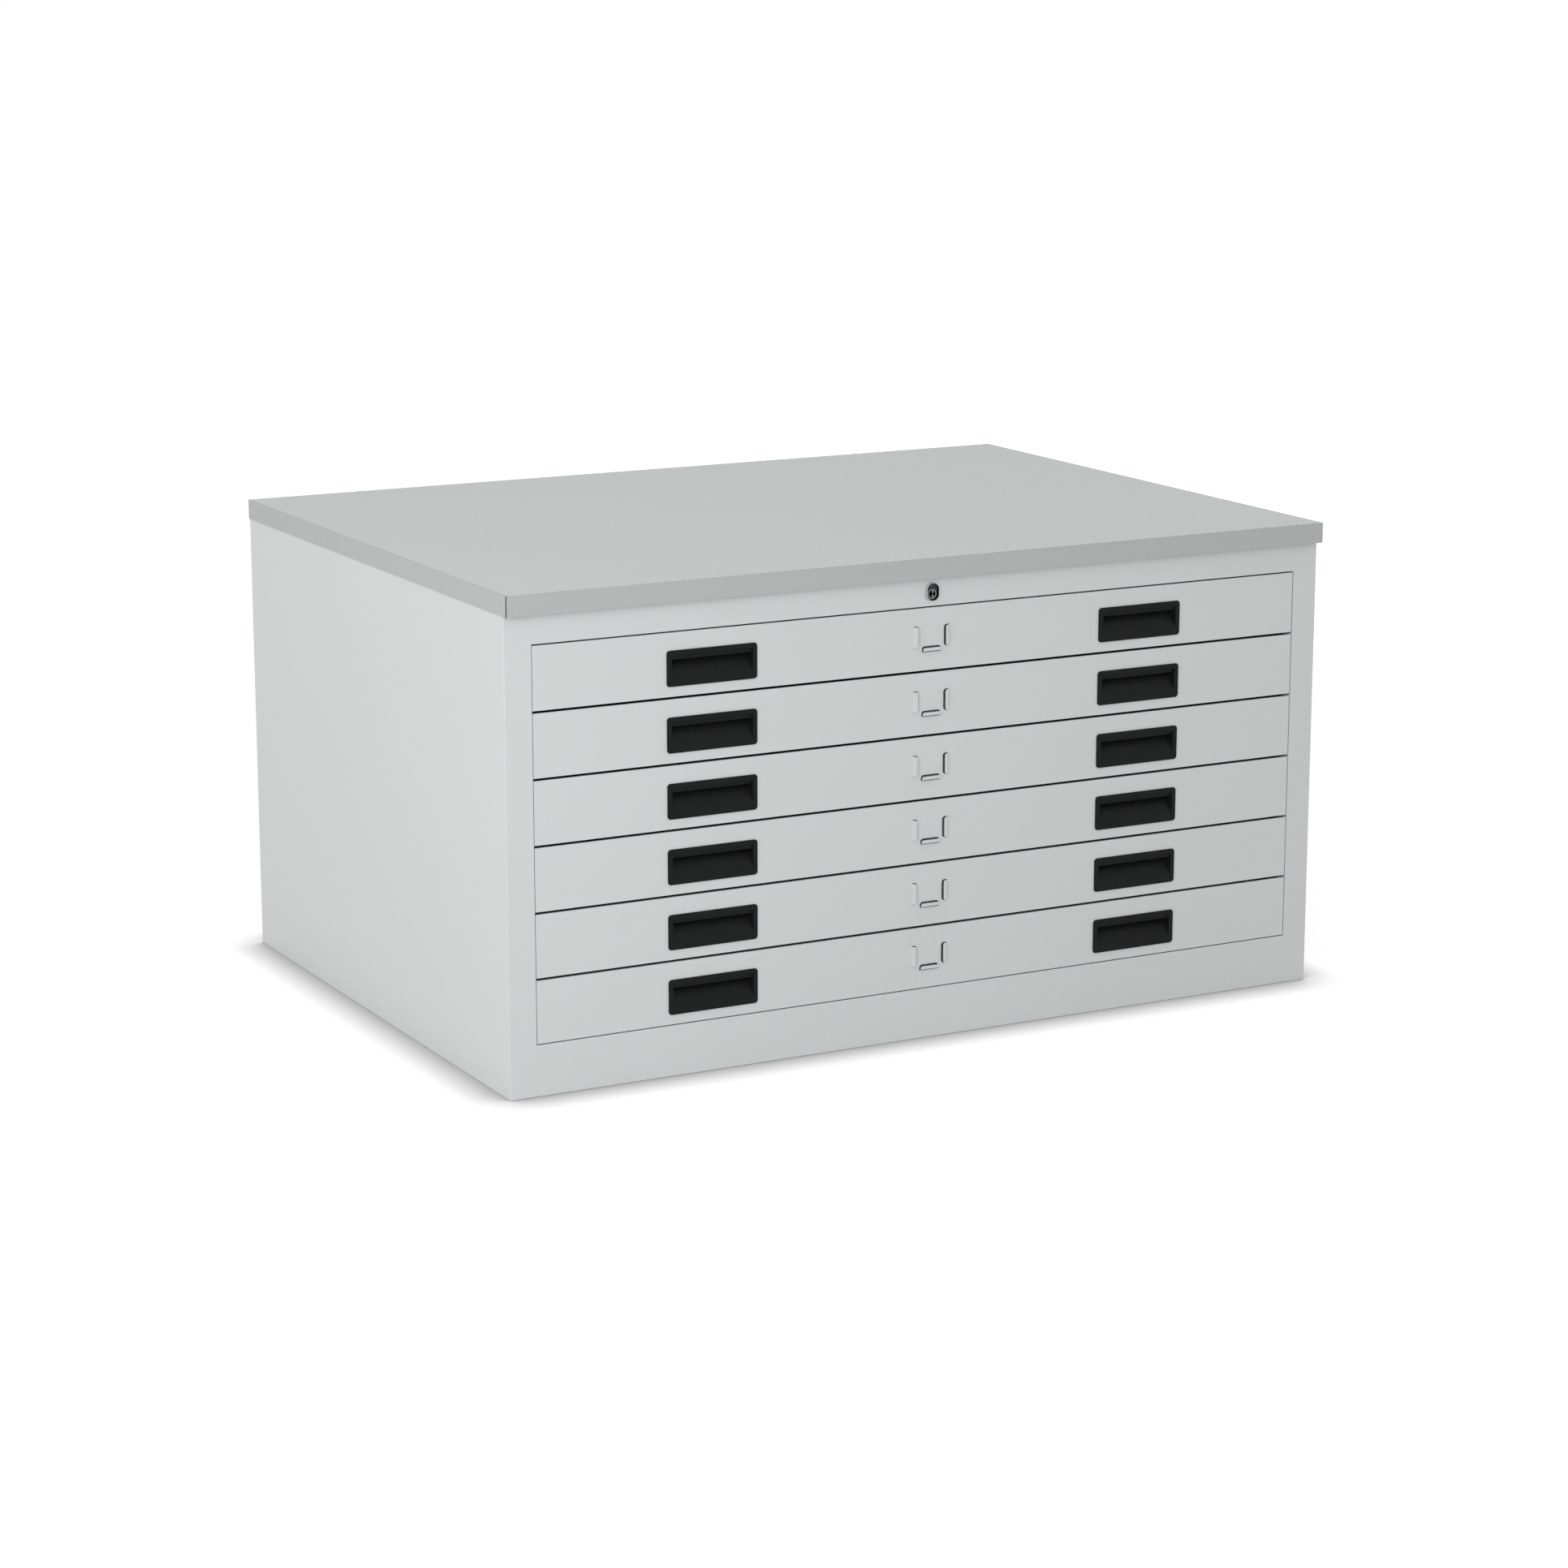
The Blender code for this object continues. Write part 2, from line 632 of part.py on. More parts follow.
def pull_recess_outline(face, mouth_low, mouth_top):
    # Behind the lip the recess rises again, so that fingers hook over it.
    lip_low = mouth_top - PULL_LIP_HEIGHT
    lip_front = face + PULL_LIP_SETBACK
    lip_back = lip_front + PULL_LIP_THICKNESS
    outline = [
        (face - OVERRUN, mouth_top),
        (lip_front, mouth_top),
        (lip_front, lip_low),
        (lip_back, lip_low),
        (lip_back, mouth_top),
        (PULL_DEPTH, mouth_top),
    ]
    # The floor is a quadratic curve from the back down to the mouth.
    start = (PULL_DEPTH, lip_low - PULL_BACK_HEIGHT)
    bend = (face + PULL_FLOOR_BEND_Y, mouth_low + PULL_FLOOR_BEND_RISE)
    end = (face - PULL_FLOOR_OVERLAP, mouth_low)
    for step in range(PULL_FLOOR_STEPS + 1):
        share = step / PULL_FLOOR_STEPS
        weights = ((1 - share) ** 2, 2 * share * (1 - share), share ** 2)
        outline.append(tuple(
            weights[0] * start[part] + weights[1] * bend[part] + weights[2] * end[part]
            for part in range(2)
        ))
    outline.append((face - OVERRUN, mouth_low))
    return outline


def make_pull_mesh():
    # Z counts from the lower edge of the pull, and Y from the face of the drawer's front.
    face = -REST_GAP - PULL_PROUD
    rim_outline = rounded_rectangle(
        -PULL_WIDTH / 2, PULL_WIDTH / 2, 0, PULL_HEIGHT, PULL_CORNER, PULL_CORNER_STEPS,
    )
    pull = extrude_outline("pull", rim_outline, "y", face, -REST_GAP)
    middle = face + PULL_PROUD / 2
    bevel_where(pull, PULL_EDGE, 1, lambda point: point.y < middle)
    mouth_half = PULL_WIDTH / 2 - PULL_SIDE_RIM
    mouth_low = PULL_BOTTOM_RIM
    mouth_top = PULL_HEIGHT - PULL_TOP_RIM
    ramp_top = mouth_top - PULL_LIP_HEIGHT - PULL_BACK_HEIGHT
    shell = [
        (middle, mouth_low - PULL_WALL),
        (PULL_WALL, mouth_low - PULL_WALL),
        (PULL_DEPTH + PULL_WALL, ramp_top - PULL_WALL),
        (PULL_DEPTH + PULL_WALL, mouth_top + PULL_WALL),
        (middle, mouth_top + PULL_WALL),
    ]
    pocket = extrude_outline("pocket", shell, "x", -mouth_half - PULL_WALL, mouth_half + PULL_WALL)
    combine(pull, "UNION", [pocket])
    recess = pull_recess_outline(face, mouth_low, mouth_top)
    cutter = extrude_outline("recess", recess, "x", -mouth_half, mouth_half)
    combine(pull, "DIFFERENCE", [cutter])
    return keep_mesh(pull, "drawer_pull")


def make_drawers(finishes):
    tray_mesh = make_tray_mesh()
    front_mesh = make_front_mesh()
    pull_mesh = make_pull_mesh()
    for index, drawer in enumerate(drawer_names()):
        slide = bpy.data.objects.new(f"{drawer}_slide", None)
        bpy.context.scene.collection.objects.link(slide)
        slide.location = (0, FRONT_Y, drawer_line(index))
        pieces = [
            (f"{drawer}_tray", tray_mesh, "body_paint", 0, 0),
            (f"{drawer}_front", front_mesh, "body_paint", 0, 0),
            (f"{drawer}_pull_left", pull_mesh, "pull_plastic", -PULL_SPACING / 2, PULL_RISE),
            (f"{drawer}_pull_right", pull_mesh, "pull_plastic", PULL_SPACING / 2, PULL_RISE),
        ]
        for name, mesh, finish, place_x, place_z in pieces:
            piece = new_object(name, mesh)
            paint(piece, finishes[finish])
            piece.parent = slide
            piece.location = (place_x, 0, place_z)


def make_lock_housing(finishes):
    face = -REST_GAP - LOCK_PROUD
    rise = LOCK_AXIS_DROP
    housing = extrude_outline("lock_housing", stadium(0, rise, LOCK_WIDTH, LOCK_HEIGHT), "y", face, -REST_GAP)
    middle = face + LOCK_PROUD / 2
    bevel_where(housing, LOCK_EDGE, 2, lambda point: point.y < middle)
    barrel = extrude_outline("barrel", circle(0, 0, BARREL_RADIUS), "y", middle, BARREL_LENGTH)
    combine(housing, "UNION", [barrel])
    inner_width = LOCK_WIDTH - 2 * LOCK_RIM
    inner_height = LOCK_HEIGHT - 2 * LOCK_RIM
    recess_outline = stadium(0, rise, inner_width, inner_height)
    recess = extrude_outline("recess", recess_outline, "y", face - OVERRUN, face + LOCK_RECESS)
    bore_outline = circle(0, 0, PLUG_RADIUS + REST_GAP)
    bore = extrude_outline("bore", bore_outline, "y", face - OVERRUN, BARREL_LENGTH + OVERRUN)
    combine(housing, "DIFFERENCE", [recess, bore])
    housing.location = (0, FRONT_Y, LOCK_AXIS_Z)
    paint(housing, finishes["lock_chrome"])


def make_lock_plug(finishes):
    face = -REST_GAP - LOCK_PROUD + LOCK_RECESS
    plug = extrude_outline("lock_plug", circle(0, 0, PLUG_RADIUS), "y", face, BARREL_LENGTH)
    keyway = box(
        "keyway",
        (-KEYWAY_WIDTH / 2, face - OVERRUN, -KEYWAY_HEIGHT / 2),
        (KEYWAY_WIDTH / 2, face + KEYWAY_DEPTH, KEYWAY_HEIGHT / 2),
    )
    combine(plug, "DIFFERENCE", [keyway])
    plug.location = (0, FRONT_Y, LOCK_AXIS_Z)
    paint(plug, finishes["lock_chrome"])


def make_lock_nut(finishes):
    corner_radius = NUT_ACROSS_FLATS / 2 / math.cos(math.pi / 6)
    start = SHEET + NUT_SETBACK
    nut = extrude_outline("lock_nut", circle(0, 0, corner_radius, 6), "y", start, start + NUT_THICKNESS)
    hole_outline = circle(0, 0, BARREL_RADIUS + REST_GAP)
    hole = extrude_outline("hole", hole_outline, "y", start - OVERRUN, start + NUT_THICKNESS + OVERRUN)
    combine(nut, "DIFFERENCE", [hole])
    nut.location = (0, FRONT_Y, LOCK_AXIS_Z)
    paint(nut, finishes["lock_steel"])


def make_lock_rod(finishes):
    # The rod's own axis is the plug's axis, with the crank and its pin at the rear end.
    start = FRONT_Y + BARREL_LENGTH + REST_GAP
    crank_front = CRANK_BACK_Y - CRANK_THICKNESS
    crank_middle = crank_front + CRANK_THICKNESS / 2
    rod = extrude_outline("lock_rod", circle(0, 0, ROD_RADIUS, ROUND_STEPS // 2), "y", start, crank_middle)
    crank = extrude_outline("crank", circle(0, 0, CRANK_RADIUS), "y", crank_front, CRANK_BACK_Y)
    pin_outline = circle(PIN_X, PIN_Z - LOCK_AXIS_Z, PIN_RADIUS, ROUND_STEPS // 2)
    pin_end = BAR_FRONT_Y + BAR_SHEET + PIN_OVERREACH
    pin = extrude_outline("pin", pin_outline, "y", crank_middle, pin_end)
    combine(rod, "UNION", [crank, pin])
    rod.location = (0, 0, LOCK_AXIS_Z)
    paint(rod, finishes["lock_steel"])


def make_rod_bearing(finishes):
    # A bracket that hangs from the top pan and carries the rear end of the rod.
    plate_y = CRANK_BACK_Y - BEARING_SETBACK
    top = BODY_HEIGHT - SHEET - REST_GAP
    low = LOCK_AXIS_Z - ROD_RADIUS - BEARING_MARGIN
    path = [(plate_y - BEARING_FOOT, top - BAR_SHEET), (plate_y, top - BAR_SHEET), (plate_y, low)]
    outline = folded_outline(path[::-1], BAR_SHEET, [BEND_RADIUS])
    bearing = extrude_outline("lock_rod_bearing", outline, "x", -BEARING_WIDTH / 2, BEARING_WIDTH / 2)
    hole_outline = circle(0, LOCK_AXIS_Z, ROD_RADIUS + REST_GAP, ROUND_STEPS // 2)
    hole = extrude_outline("hole", hole_outline, "y", plate_y - OVERRUN, plate_y + BAR_SHEET + OVERRUN)
    combine(bearing, "DIFFERENCE", [hole])
    paint(bearing, finishes["runner_steel"])


def make_hook(level):
    # The tip stands in front of the catch when the bar is raised.
    tip_top = level + HOOK_TIP_TOP
    base = tip_top - HOOK_TIP
    tip_y = BAR_FRONT_Y - HOOK_REACH
    path = [(tip_y, tip_top), (tip_y, base - BAR_SHEET), (BAR_FRONT_Y + BAR_SHEET / 2, base - BAR_SHEET)]
    outline = folded_outline(path, BAR_SHEET, [BEND_RADIUS])
    return extrude_outline("hook", outline, "x", -HOOK_WIDTH / 2, HOOK_WIDTH / 2)


def make_lock_bar(finishes):
    half_width = BAR_WIDTH / 2
    path = [
        (-half_width, BAR_BACK_Y),
        (-half_width, BAR_FRONT_Y),
        (half_width, BAR_FRONT_Y),
        (half_width, BAR_BACK_Y),
    ]
    outline = folded_outline(path, BAR_SHEET, [BEND_RADIUS, BEND_RADIUS])
    slot_half = PIN_RADIUS + RUN_GAP
    bar_top = PIN_Z + slot_half + BAR_TOP_MARGIN
    bar = extrude_outline("lock_bar", outline, "z", BAR_FLOOR_GAP, bar_top)
    slot = box(
        "slot",
        (-CRANK_THROW - PIN_RADIUS - SLOT_SIDE_GAP, BAR_FRONT_Y - OVERRUN, PIN_Z - slot_half),
        (PIN_X + PIN_RADIUS + SLOT_SIDE_GAP, BAR_FRONT_Y + BAR_SHEET + OVERRUN, PIN_Z + slot_half),
    )
    combine(bar, "DIFFERENCE", [slot])
    combine(bar, "UNION", [make_hook(drawer_line(index)) for index in range(DRAWER_COUNT)])
    paint(bar, finishes["lock_steel"])


def make_bar_guides(finishes):
    # Each guide stands on the back panel and wraps round the edges of the bar.
    half_width = BAR_WIDTH / 2 + RUN_GAP + SHEET
    lip_y = BAR_FRONT_Y - RUN_GAP - SHEET
    lip_end = half_width - GUIDE_LIP - SHEET
    path = [
        (-lip_end, lip_y),
        (-half_width, lip_y),
        (-half_width, PAN_BACK_Y),
        (half_width, PAN_BACK_Y),
        (half_width, lip_y),
        (lip_end, lip_y),
    ]
    outline = folded_outline(mirrored(path), SHEET, [BEND_RADIUS] * (len(path) - 2))
    lower = BAR_FLOOR_GAP + GUIDE_INSET
    upper = PIN_Z - CRANK_RADIUS - GUIDE_INSET - GUIDE_HEIGHT
    for name, level in (("lock_bar_guide_lower", lower), ("lock_bar_guide_upper", upper)):
        guide = extrude_outline(name, outline, "z", level, level + GUIDE_HEIGHT)
        paint(guide, finishes["runner_steel"])


def main():
    clear_scene()
    finishes = make_finishes()
    make_worktop(finishes)
    make_side_panels(finishes)
    make_rails(finishes)
    make_pans(finishes)
    make_back_panel(finishes)
    make_uprights(finishes)
    make_runners(finishes)
    make_drawers(finishes)
    make_lock_housing(finishes)
    make_lock_plug(finishes)
    make_lock_nut(finishes)
    make_lock_rod(finishes)
    make_rod_bearing(finishes)
    make_lock_bar(finishes)
    make_bar_guides(finishes)


main()
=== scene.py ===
# Flat file cabinet in light grey painted steel: six shallow drawers with two black pulls
# each, one lock for all of them, and a laminated worktop with glued edge bands.
# Lengths are in metres. The drawers open towards -Y and +Z is up.

import math

import bmesh
import bpy
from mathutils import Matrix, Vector


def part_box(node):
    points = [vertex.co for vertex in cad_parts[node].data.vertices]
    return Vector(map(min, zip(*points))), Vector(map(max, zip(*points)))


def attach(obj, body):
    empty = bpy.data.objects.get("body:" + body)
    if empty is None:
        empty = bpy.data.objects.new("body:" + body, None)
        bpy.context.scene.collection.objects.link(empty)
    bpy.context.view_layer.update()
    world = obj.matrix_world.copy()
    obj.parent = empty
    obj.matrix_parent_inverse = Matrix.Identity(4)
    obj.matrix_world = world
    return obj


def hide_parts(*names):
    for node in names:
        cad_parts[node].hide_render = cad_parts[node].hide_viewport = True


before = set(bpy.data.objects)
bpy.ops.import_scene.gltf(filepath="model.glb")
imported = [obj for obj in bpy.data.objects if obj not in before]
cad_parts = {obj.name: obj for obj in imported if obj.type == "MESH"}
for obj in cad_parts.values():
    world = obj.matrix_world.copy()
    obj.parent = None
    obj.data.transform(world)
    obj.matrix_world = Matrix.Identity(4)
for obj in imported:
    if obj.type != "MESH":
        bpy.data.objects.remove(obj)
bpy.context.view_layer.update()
drawerNames = [f"drawer_{number}" for number in range(1, 7)]  # drawer_1 is the top one
print("frame loaded with", len(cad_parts), "nodes")


# Camera, floor and light

cameraView = {
    "position": (-2.3122, -4.3547, 1.3522),
    "yaw": 28.086,  # degrees to the right of straight at the drawers
    "pitch": 12.783,  # degrees down
    "lens": 91.053,
    "sensor": 36.0,
}


def placeCamera():
    data = bpy.data.cameras.new("camera")
    data.lens = cameraView["lens"]
    data.sensor_width = cameraView["sensor"]
    camera = bpy.data.objects.new("camera", data)
    camera.location = cameraView["position"]
    tilt = math.radians(90 - cameraView["pitch"])
    camera.rotation_euler = (tilt, 0, -math.radians(cameraView["yaw"]))
    bpy.context.scene.collection.objects.link(camera)
    bpy.context.scene.camera = camera


def fromSrgb(colour):
    # The colours below are written as 0 to 255 values, as a picture shows them.
    linear = []
    for channel in colour:
        value = channel / 255
        linear.append(value / 12.92 if value <= 0.04045 else ((value + 0.055) / 1.055) ** 2.4)
    return (*linear, 1.0)


def addNode(tree, kind, settings=None, inputs=None):
    node = tree.nodes.new(kind)
    for name, value in (settings or {}).items():
        setattr(node, name, value)
    for name, value in (inputs or {}).items():
        node.inputs[name].default_value = value
    return node


studio = {
    "floorSize": 60.0,
    "floorDrop": 0.0005,  # keeps the floor clear of the cabinet's foot
    "floorColour": (218, 219, 219),
    "seenColour": (150, 150, 150),  # of the floor for the camera, under the light added to it
    "nearLift": 0.80,
    "farLift": 0.92,
    "nearReach": 1.0,
    "farReach": 3.2,
    "contactReach": 0.060,  # how far the soft contact shadow spreads
    "contactPower": 1.25,
    "worldStrength": 0.71,  # light of the room on the object
    "keyPlace": (-2.00, -2.40, 1.20),
    "keyPower": 34.5,
    "sidePlace": (-3.20, 0.60, 1.40),
    "sidePower": 11.0,
    "lampSize": 2.0,
    "aim": (0.0, 0.0, 0.35),
}


def seenByCamera(tree):
    # 1 for what the camera sees, straight or in a mirror or through glass.
    path = addNode(tree, "ShaderNodeLightPath")
    glossy = addNode(tree, "ShaderNodeMath", {"operation": "MAXIMUM"})
    clear = addNode(tree, "ShaderNodeMath", {"operation": "MAXIMUM"})
    tree.links.new(path.outputs["Is Camera Ray"], glossy.inputs[0])
    tree.links.new(path.outputs["Is Glossy Ray"], glossy.inputs[1])
    tree.links.new(glossy.outputs[0], clear.inputs[0])
    tree.links.new(path.outputs["Is Transmission Ray"], clear.inputs[1])
    return clear.outputs[0]


def makeFloorMaterial():
    # A matte floor. The camera sees it lifted to white, with a soft shadow round the cabinet.
    material = bpy.data.materials.new("studioFloor")
    material.use_nodes = True
    tree = material.node_tree
    tree.nodes.clear()
    output = addNode(tree, "ShaderNodeOutputMaterial")
    matte = addNode(tree, "ShaderNodeBsdfDiffuse", None, {"Color": fromSrgb(studio["floorColour"])})
    contact = addNode(
        tree, "ShaderNodeAmbientOcclusion", {"samples": 16}, {"Distance": studio["contactReach"]},
    )
    shade = addNode(tree, "ShaderNodeMath", {"operation": "POWER"})
    shade.inputs[1].default_value = studio["contactPower"]
    tree.links.new(contact.outputs["AO"], shade.inputs[0])
    tint = addNode(tree, "ShaderNodeVectorMath", {"operation": "SCALE"})
    tint.inputs[0].default_value = fromSrgb(studio["seenColour"])[:3]
    tree.links.new(shade.outputs[0], tint.inputs["Scale"])
    seen = addNode(tree, "ShaderNodeBsdfDiffuse")
    tree.links.new(tint.outputs[0], seen.inputs["Color"])
    place = addNode(tree, "ShaderNodeTexCoord")
    away = addNode(tree, "ShaderNodeVectorMath", {"operation": "LENGTH"})
    tree.links.new(place.outputs["Object"], away.inputs[0])
    reach = addNode(tree, "ShaderNodeMapRange", None, {
        "From Min": studio["nearReach"], "From Max": studio["farReach"],
        "To Min": studio["nearLift"], "To Max": studio["farLift"],
    })
    tree.links.new(away.outputs["Value"], reach.inputs["Value"])
    strength = addNode(tree, "ShaderNodeMath", {"operation": "MULTIPLY"})
    tree.links.new(reach.outputs["Result"], strength.inputs[0])
    tree.links.new(shade.outputs[0], strength.inputs[1])
    lift = addNode(tree, "ShaderNodeEmission")
    tree.links.new(strength.outputs[0], lift.inputs["Strength"])
    both = addNode(tree, "ShaderNodeAddShader")
    choose = addNode(tree, "ShaderNodeMixShader")
    tree.links.new(seen.outputs[0], both.inputs[0])
    tree.links.new(lift.outputs[0], both.inputs[1])
    tree.links.new(seenByCamera(tree), choose.inputs[0])
    tree.links.new(matte.outputs[0], choose.inputs[1])
    tree.links.new(both.outputs[0], choose.inputs[2])
    tree.links.new(choose.outputs[0], output.inputs["Surface"])
    return material


def makeFloor():
    half, low = studio["floorSize"] / 2, -studio["floorDrop"]
    mesh = bpy.data.meshes.new("studioFloor")
    corners = [(-half, -half, low), (half, -half, low), (half, half, low), (-half, half, low)]
    mesh.from_pydata(corners, [], [(0, 1, 2, 3)])
    floor = bpy.data.objects.new("studioFloor", mesh)
    bpy.context.scene.collection.objects.link(floor)
    mesh.materials.append(makeFloorMaterial())


def makeWorld():
    world = bpy.data.worlds.new("studio")
    bpy.context.scene.world = world
    world.use_nodes = True
    tree = world.node_tree
    tree.nodes.clear()
    output = addNode(tree, "ShaderNodeOutputWorld")
    plain, strength = (1, 1, 1, 1), studio["worldStrength"]
    room = addNode(tree, "ShaderNodeBackground", None, {"Color": plain, "Strength": strength})
    white = addNode(tree, "ShaderNodeBackground", None, {"Color": plain, "Strength": 1.0})
    choose = addNode(tree, "ShaderNodeMixShader")
    tree.links.new(seenByCamera(tree), choose.inputs[0])
    tree.links.new(room.outputs[0], choose.inputs[1])
    tree.links.new(white.outputs[0], choose.inputs[2])
    tree.links.new(choose.outputs[0], output.inputs["Surface"])


def makeLamp(name, place, size, power):
    data = bpy.data.lights.new(name, "AREA")
    data.shape = "SQUARE"
    data.size = size
    data.energy = power
    lamp = bpy.data.objects.new(name, data)
    lamp.location = place
    facing = Vector(studio["aim"]) - Vector(place)
    lamp.rotation_euler = facing.to_track_quat("-Z", "Y").to_euler()
    lamp.visible_camera = False
    lamp.visible_glossy = False
    bpy.context.scene.collection.objects.link(lamp)


placeCamera()
makeFloor()
makeWorld()
makeLamp("keyLamp", studio["keyPlace"], studio["lampSize"], studio["keyPower"])
makeLamp("sideLamp", studio["sidePlace"], studio["lampSize"], studio["sidePower"])
bpy.context.scene.view_settings.view_transform = "Standard"
print("camera, floor and light are in place")


# Shared shader groups

def newShaderGroup(name, inputs, outputs):
    group = bpy.data.node_groups.new(name, "ShaderNodeTree")
    for label, kind, value in inputs:
        socket = group.interface.new_socket(name=label, in_out="INPUT", socket_type=kind)
        socket.default_value = value
    for label, kind in outputs:
        group.interface.new_socket(name=label, in_out="OUTPUT", socket_type=kind)
    start = addNode(group, "NodeGroupInput")
    end = addNode(group, "NodeGroupOutput")
    return group, start, end


def mapRange(tree, source, low, high):
    # Noise sits near the middle of its range, so the ends are pulled in.
    spread = addNode(tree, "ShaderNodeMapRange", None, {"From Min": 0.3, "From Max": 0.7})
    tree.links.new(source, spread.inputs["Value"])
    for label, value in (("To Min", low), ("To Max", high)):
        if isinstance(value, (int, float)):
            spread.inputs[label].default_value = value
        else:
            tree.links.new(value, spread.inputs[label])
    return spread.outputs["Result"]


def makeUnevenTone():
    # A colour that drifts a little lighter and darker over the surface.
    group, start, end = newShaderGroup(
        "unevenTone",
        [
            ("Colour", "NodeSocketColor", (0.5, 0.5, 0.5, 1)),
            ("Drift", "NodeSocketFloat", 0.01),
            ("Scale", "NodeSocketFloat", 3.0),
        ],
        [("Colour", "NodeSocketColor"), ("Mask", "NodeSocketFloat")],
    )
    place = addNode(group, "ShaderNodeTexCoord")
    noise = addNode(group, "ShaderNodeTexNoise", None, {"Detail": 3.0, "Roughness": 0.5})
    group.links.new(place.outputs["Object"], noise.inputs["Vector"])
    group.links.new(start.outputs["Scale"], noise.inputs["Scale"])
    less = addNode(group, "ShaderNodeMath", {"operation": "SUBTRACT"})
    less.inputs[0].default_value = 1.0
    group.links.new(start.outputs["Drift"], less.inputs[1])
    more = addNode(group, "ShaderNodeMath", {"operation": "ADD"})
    more.inputs[0].default_value = 1.0
    group.links.new(start.outputs["Drift"], more.inputs[1])
    level = mapRange(group, noise.outputs["Fac"], less.outputs[0], more.outputs[0])
    tone = addNode(group, "ShaderNodeVectorMath", {"operation": "SCALE"})
    group.links.new(start.outputs["Colour"], tone.inputs[0])
    group.links.new(level, tone.inputs["Scale"])
    group.links.new(tone.outputs[0], end.inputs["Colour"])
    group.links.new(noise.outputs["Fac"], end.inputs["Mask"])
    return group


def makeFineGrain():
    # Small pits and bumps, with a slower swell under them: paint peel, suede and mould grain.
    group, start, end = newShaderGroup(
        "fineGrain",
        [
            ("Grain Scale", "NodeSocketFloat", 900.0),
            ("Swell Scale", "NodeSocketFloat", 150.0),
            ("Swell", "NodeSocketFloat", 0.5),
            ("Roughness", "NodeSocketFloat", 0.4),
            ("Roughness Drift", "NodeSocketFloat", 0.04),
        ],
        [("Height", "NodeSocketFloat"), ("Roughness", "NodeSocketFloat")],
    )
    place = addNode(group, "ShaderNodeTexCoord")
    grain = addNode(group, "ShaderNodeTexNoise", None, {"Detail": 2.0, "Roughness": 0.6})
    swell = addNode(group, "ShaderNodeTexNoise", None, {"Detail": 1.0, "Roughness": 0.4})
    for noise, label in ((grain, "Grain Scale"), (swell, "Swell Scale")):
        group.links.new(place.outputs["Object"], noise.inputs["Vector"])
        group.links.new(start.outputs[label], noise.inputs["Scale"])
    blend = addNode(group, "ShaderNodeMix", {"data_type": "FLOAT"})
    group.links.new(start.outputs["Swell"], blend.inputs[0])
    group.links.new(grain.outputs["Fac"], blend.inputs[2])
    group.links.new(swell.outputs["Fac"], blend.inputs[3])
    group.links.new(blend.outputs[0], end.inputs["Height"])
    less = addNode(group, "ShaderNodeMath", {"operation": "SUBTRACT"})
    more = addNode(group, "ShaderNodeMath", {"operation": "ADD"})
    for limit in (less, more):
        group.links.new(start.outputs["Roughness"], limit.inputs[0])
        group.links.new(start.outputs["Roughness Drift"], limit.inputs[1])
    level = mapRange(group, swell.outputs["Fac"], less.outputs[0], more.outputs[0])
    group.links.new(level, end.inputs["Roughness"])
    return group


def makeSpecks():
    # Sparse specks: 1 on a speck and 0 beside it.
    group, start, end = newShaderGroup(
        "specks",
        [("Scale", "NodeSocketFloat", 400.0), ("Size", "NodeSocketFloat", 0.12)],
        [("Mask", "NodeSocketFloat")],
    )
    place = addNode(group, "ShaderNodeTexCoord")
    cells = addNode(group, "ShaderNodeTexVoronoi", None, {"Randomness": 1.0})
    group.links.new(place.outputs["Object"], cells.inputs["Vector"])
    group.links.new(start.outputs["Scale"], cells.inputs["Scale"])
    edge = addNode(group, "ShaderNodeMapRange", None, {"From Min": 0.0, "To Min": 1.0, "To Max": 0.0})
    group.links.new(cells.outputs["Distance"], edge.inputs["Value"])
    group.links.new(start.outputs["Size"], edge.inputs["From Max"])
    group.links.new(edge.outputs["Result"], end.inputs["Mask"])
    return group


unevenTone = makeUnevenTone()
fineGrain = makeFineGrain()
specks = makeSpecks()
print("shader groups are built")


# Materials

def newMaterial(name, fixed):
    # The fixed values go on the shader's own sockets.
    material = bpy.data.materials.new(name)
    material.use_nodes = True
    shader = material.node_tree.nodes["Principled BSDF"]
    for label, value in fixed.items():
        shader.inputs[label].default_value = value
    return material, material.node_tree, shader


def useGroup(tree, group, inputs):
    node = addNode(tree, "ShaderNodeGroup", {"node_tree": group})
    for label, value in inputs.items():
        node.inputs[label].default_value = value
    return node


def addBump(tree, shader, height, strength, distance):
    bump = addNode(tree, "ShaderNodeBump", None, {"Strength": strength, "Distance": distance})
    tree.links.new(height, bump.inputs["Height"])
    tree.links.new(bump.outputs["Normal"], shader.inputs["Normal"])


def layerSpecks(tree, base, speckled, amount, speckColour):
    # Lays a speck colour over a base colour where the mask says.
    share = addNode(tree, "ShaderNodeMath", {"operation": "MULTIPLY"})
    share.inputs[1].default_value = amount
    tree.links.new(speckled, share.inputs[0])
    mix = addNode(tree, "ShaderNodeMix", {"data_type": "RGBA"})
    mix.inputs[7].default_value = fromSrgb(speckColour)
    tree.links.new(share.outputs[0], mix.inputs[0])
    tree.links.new(base, mix.inputs[6])
    return mix.outputs[2]


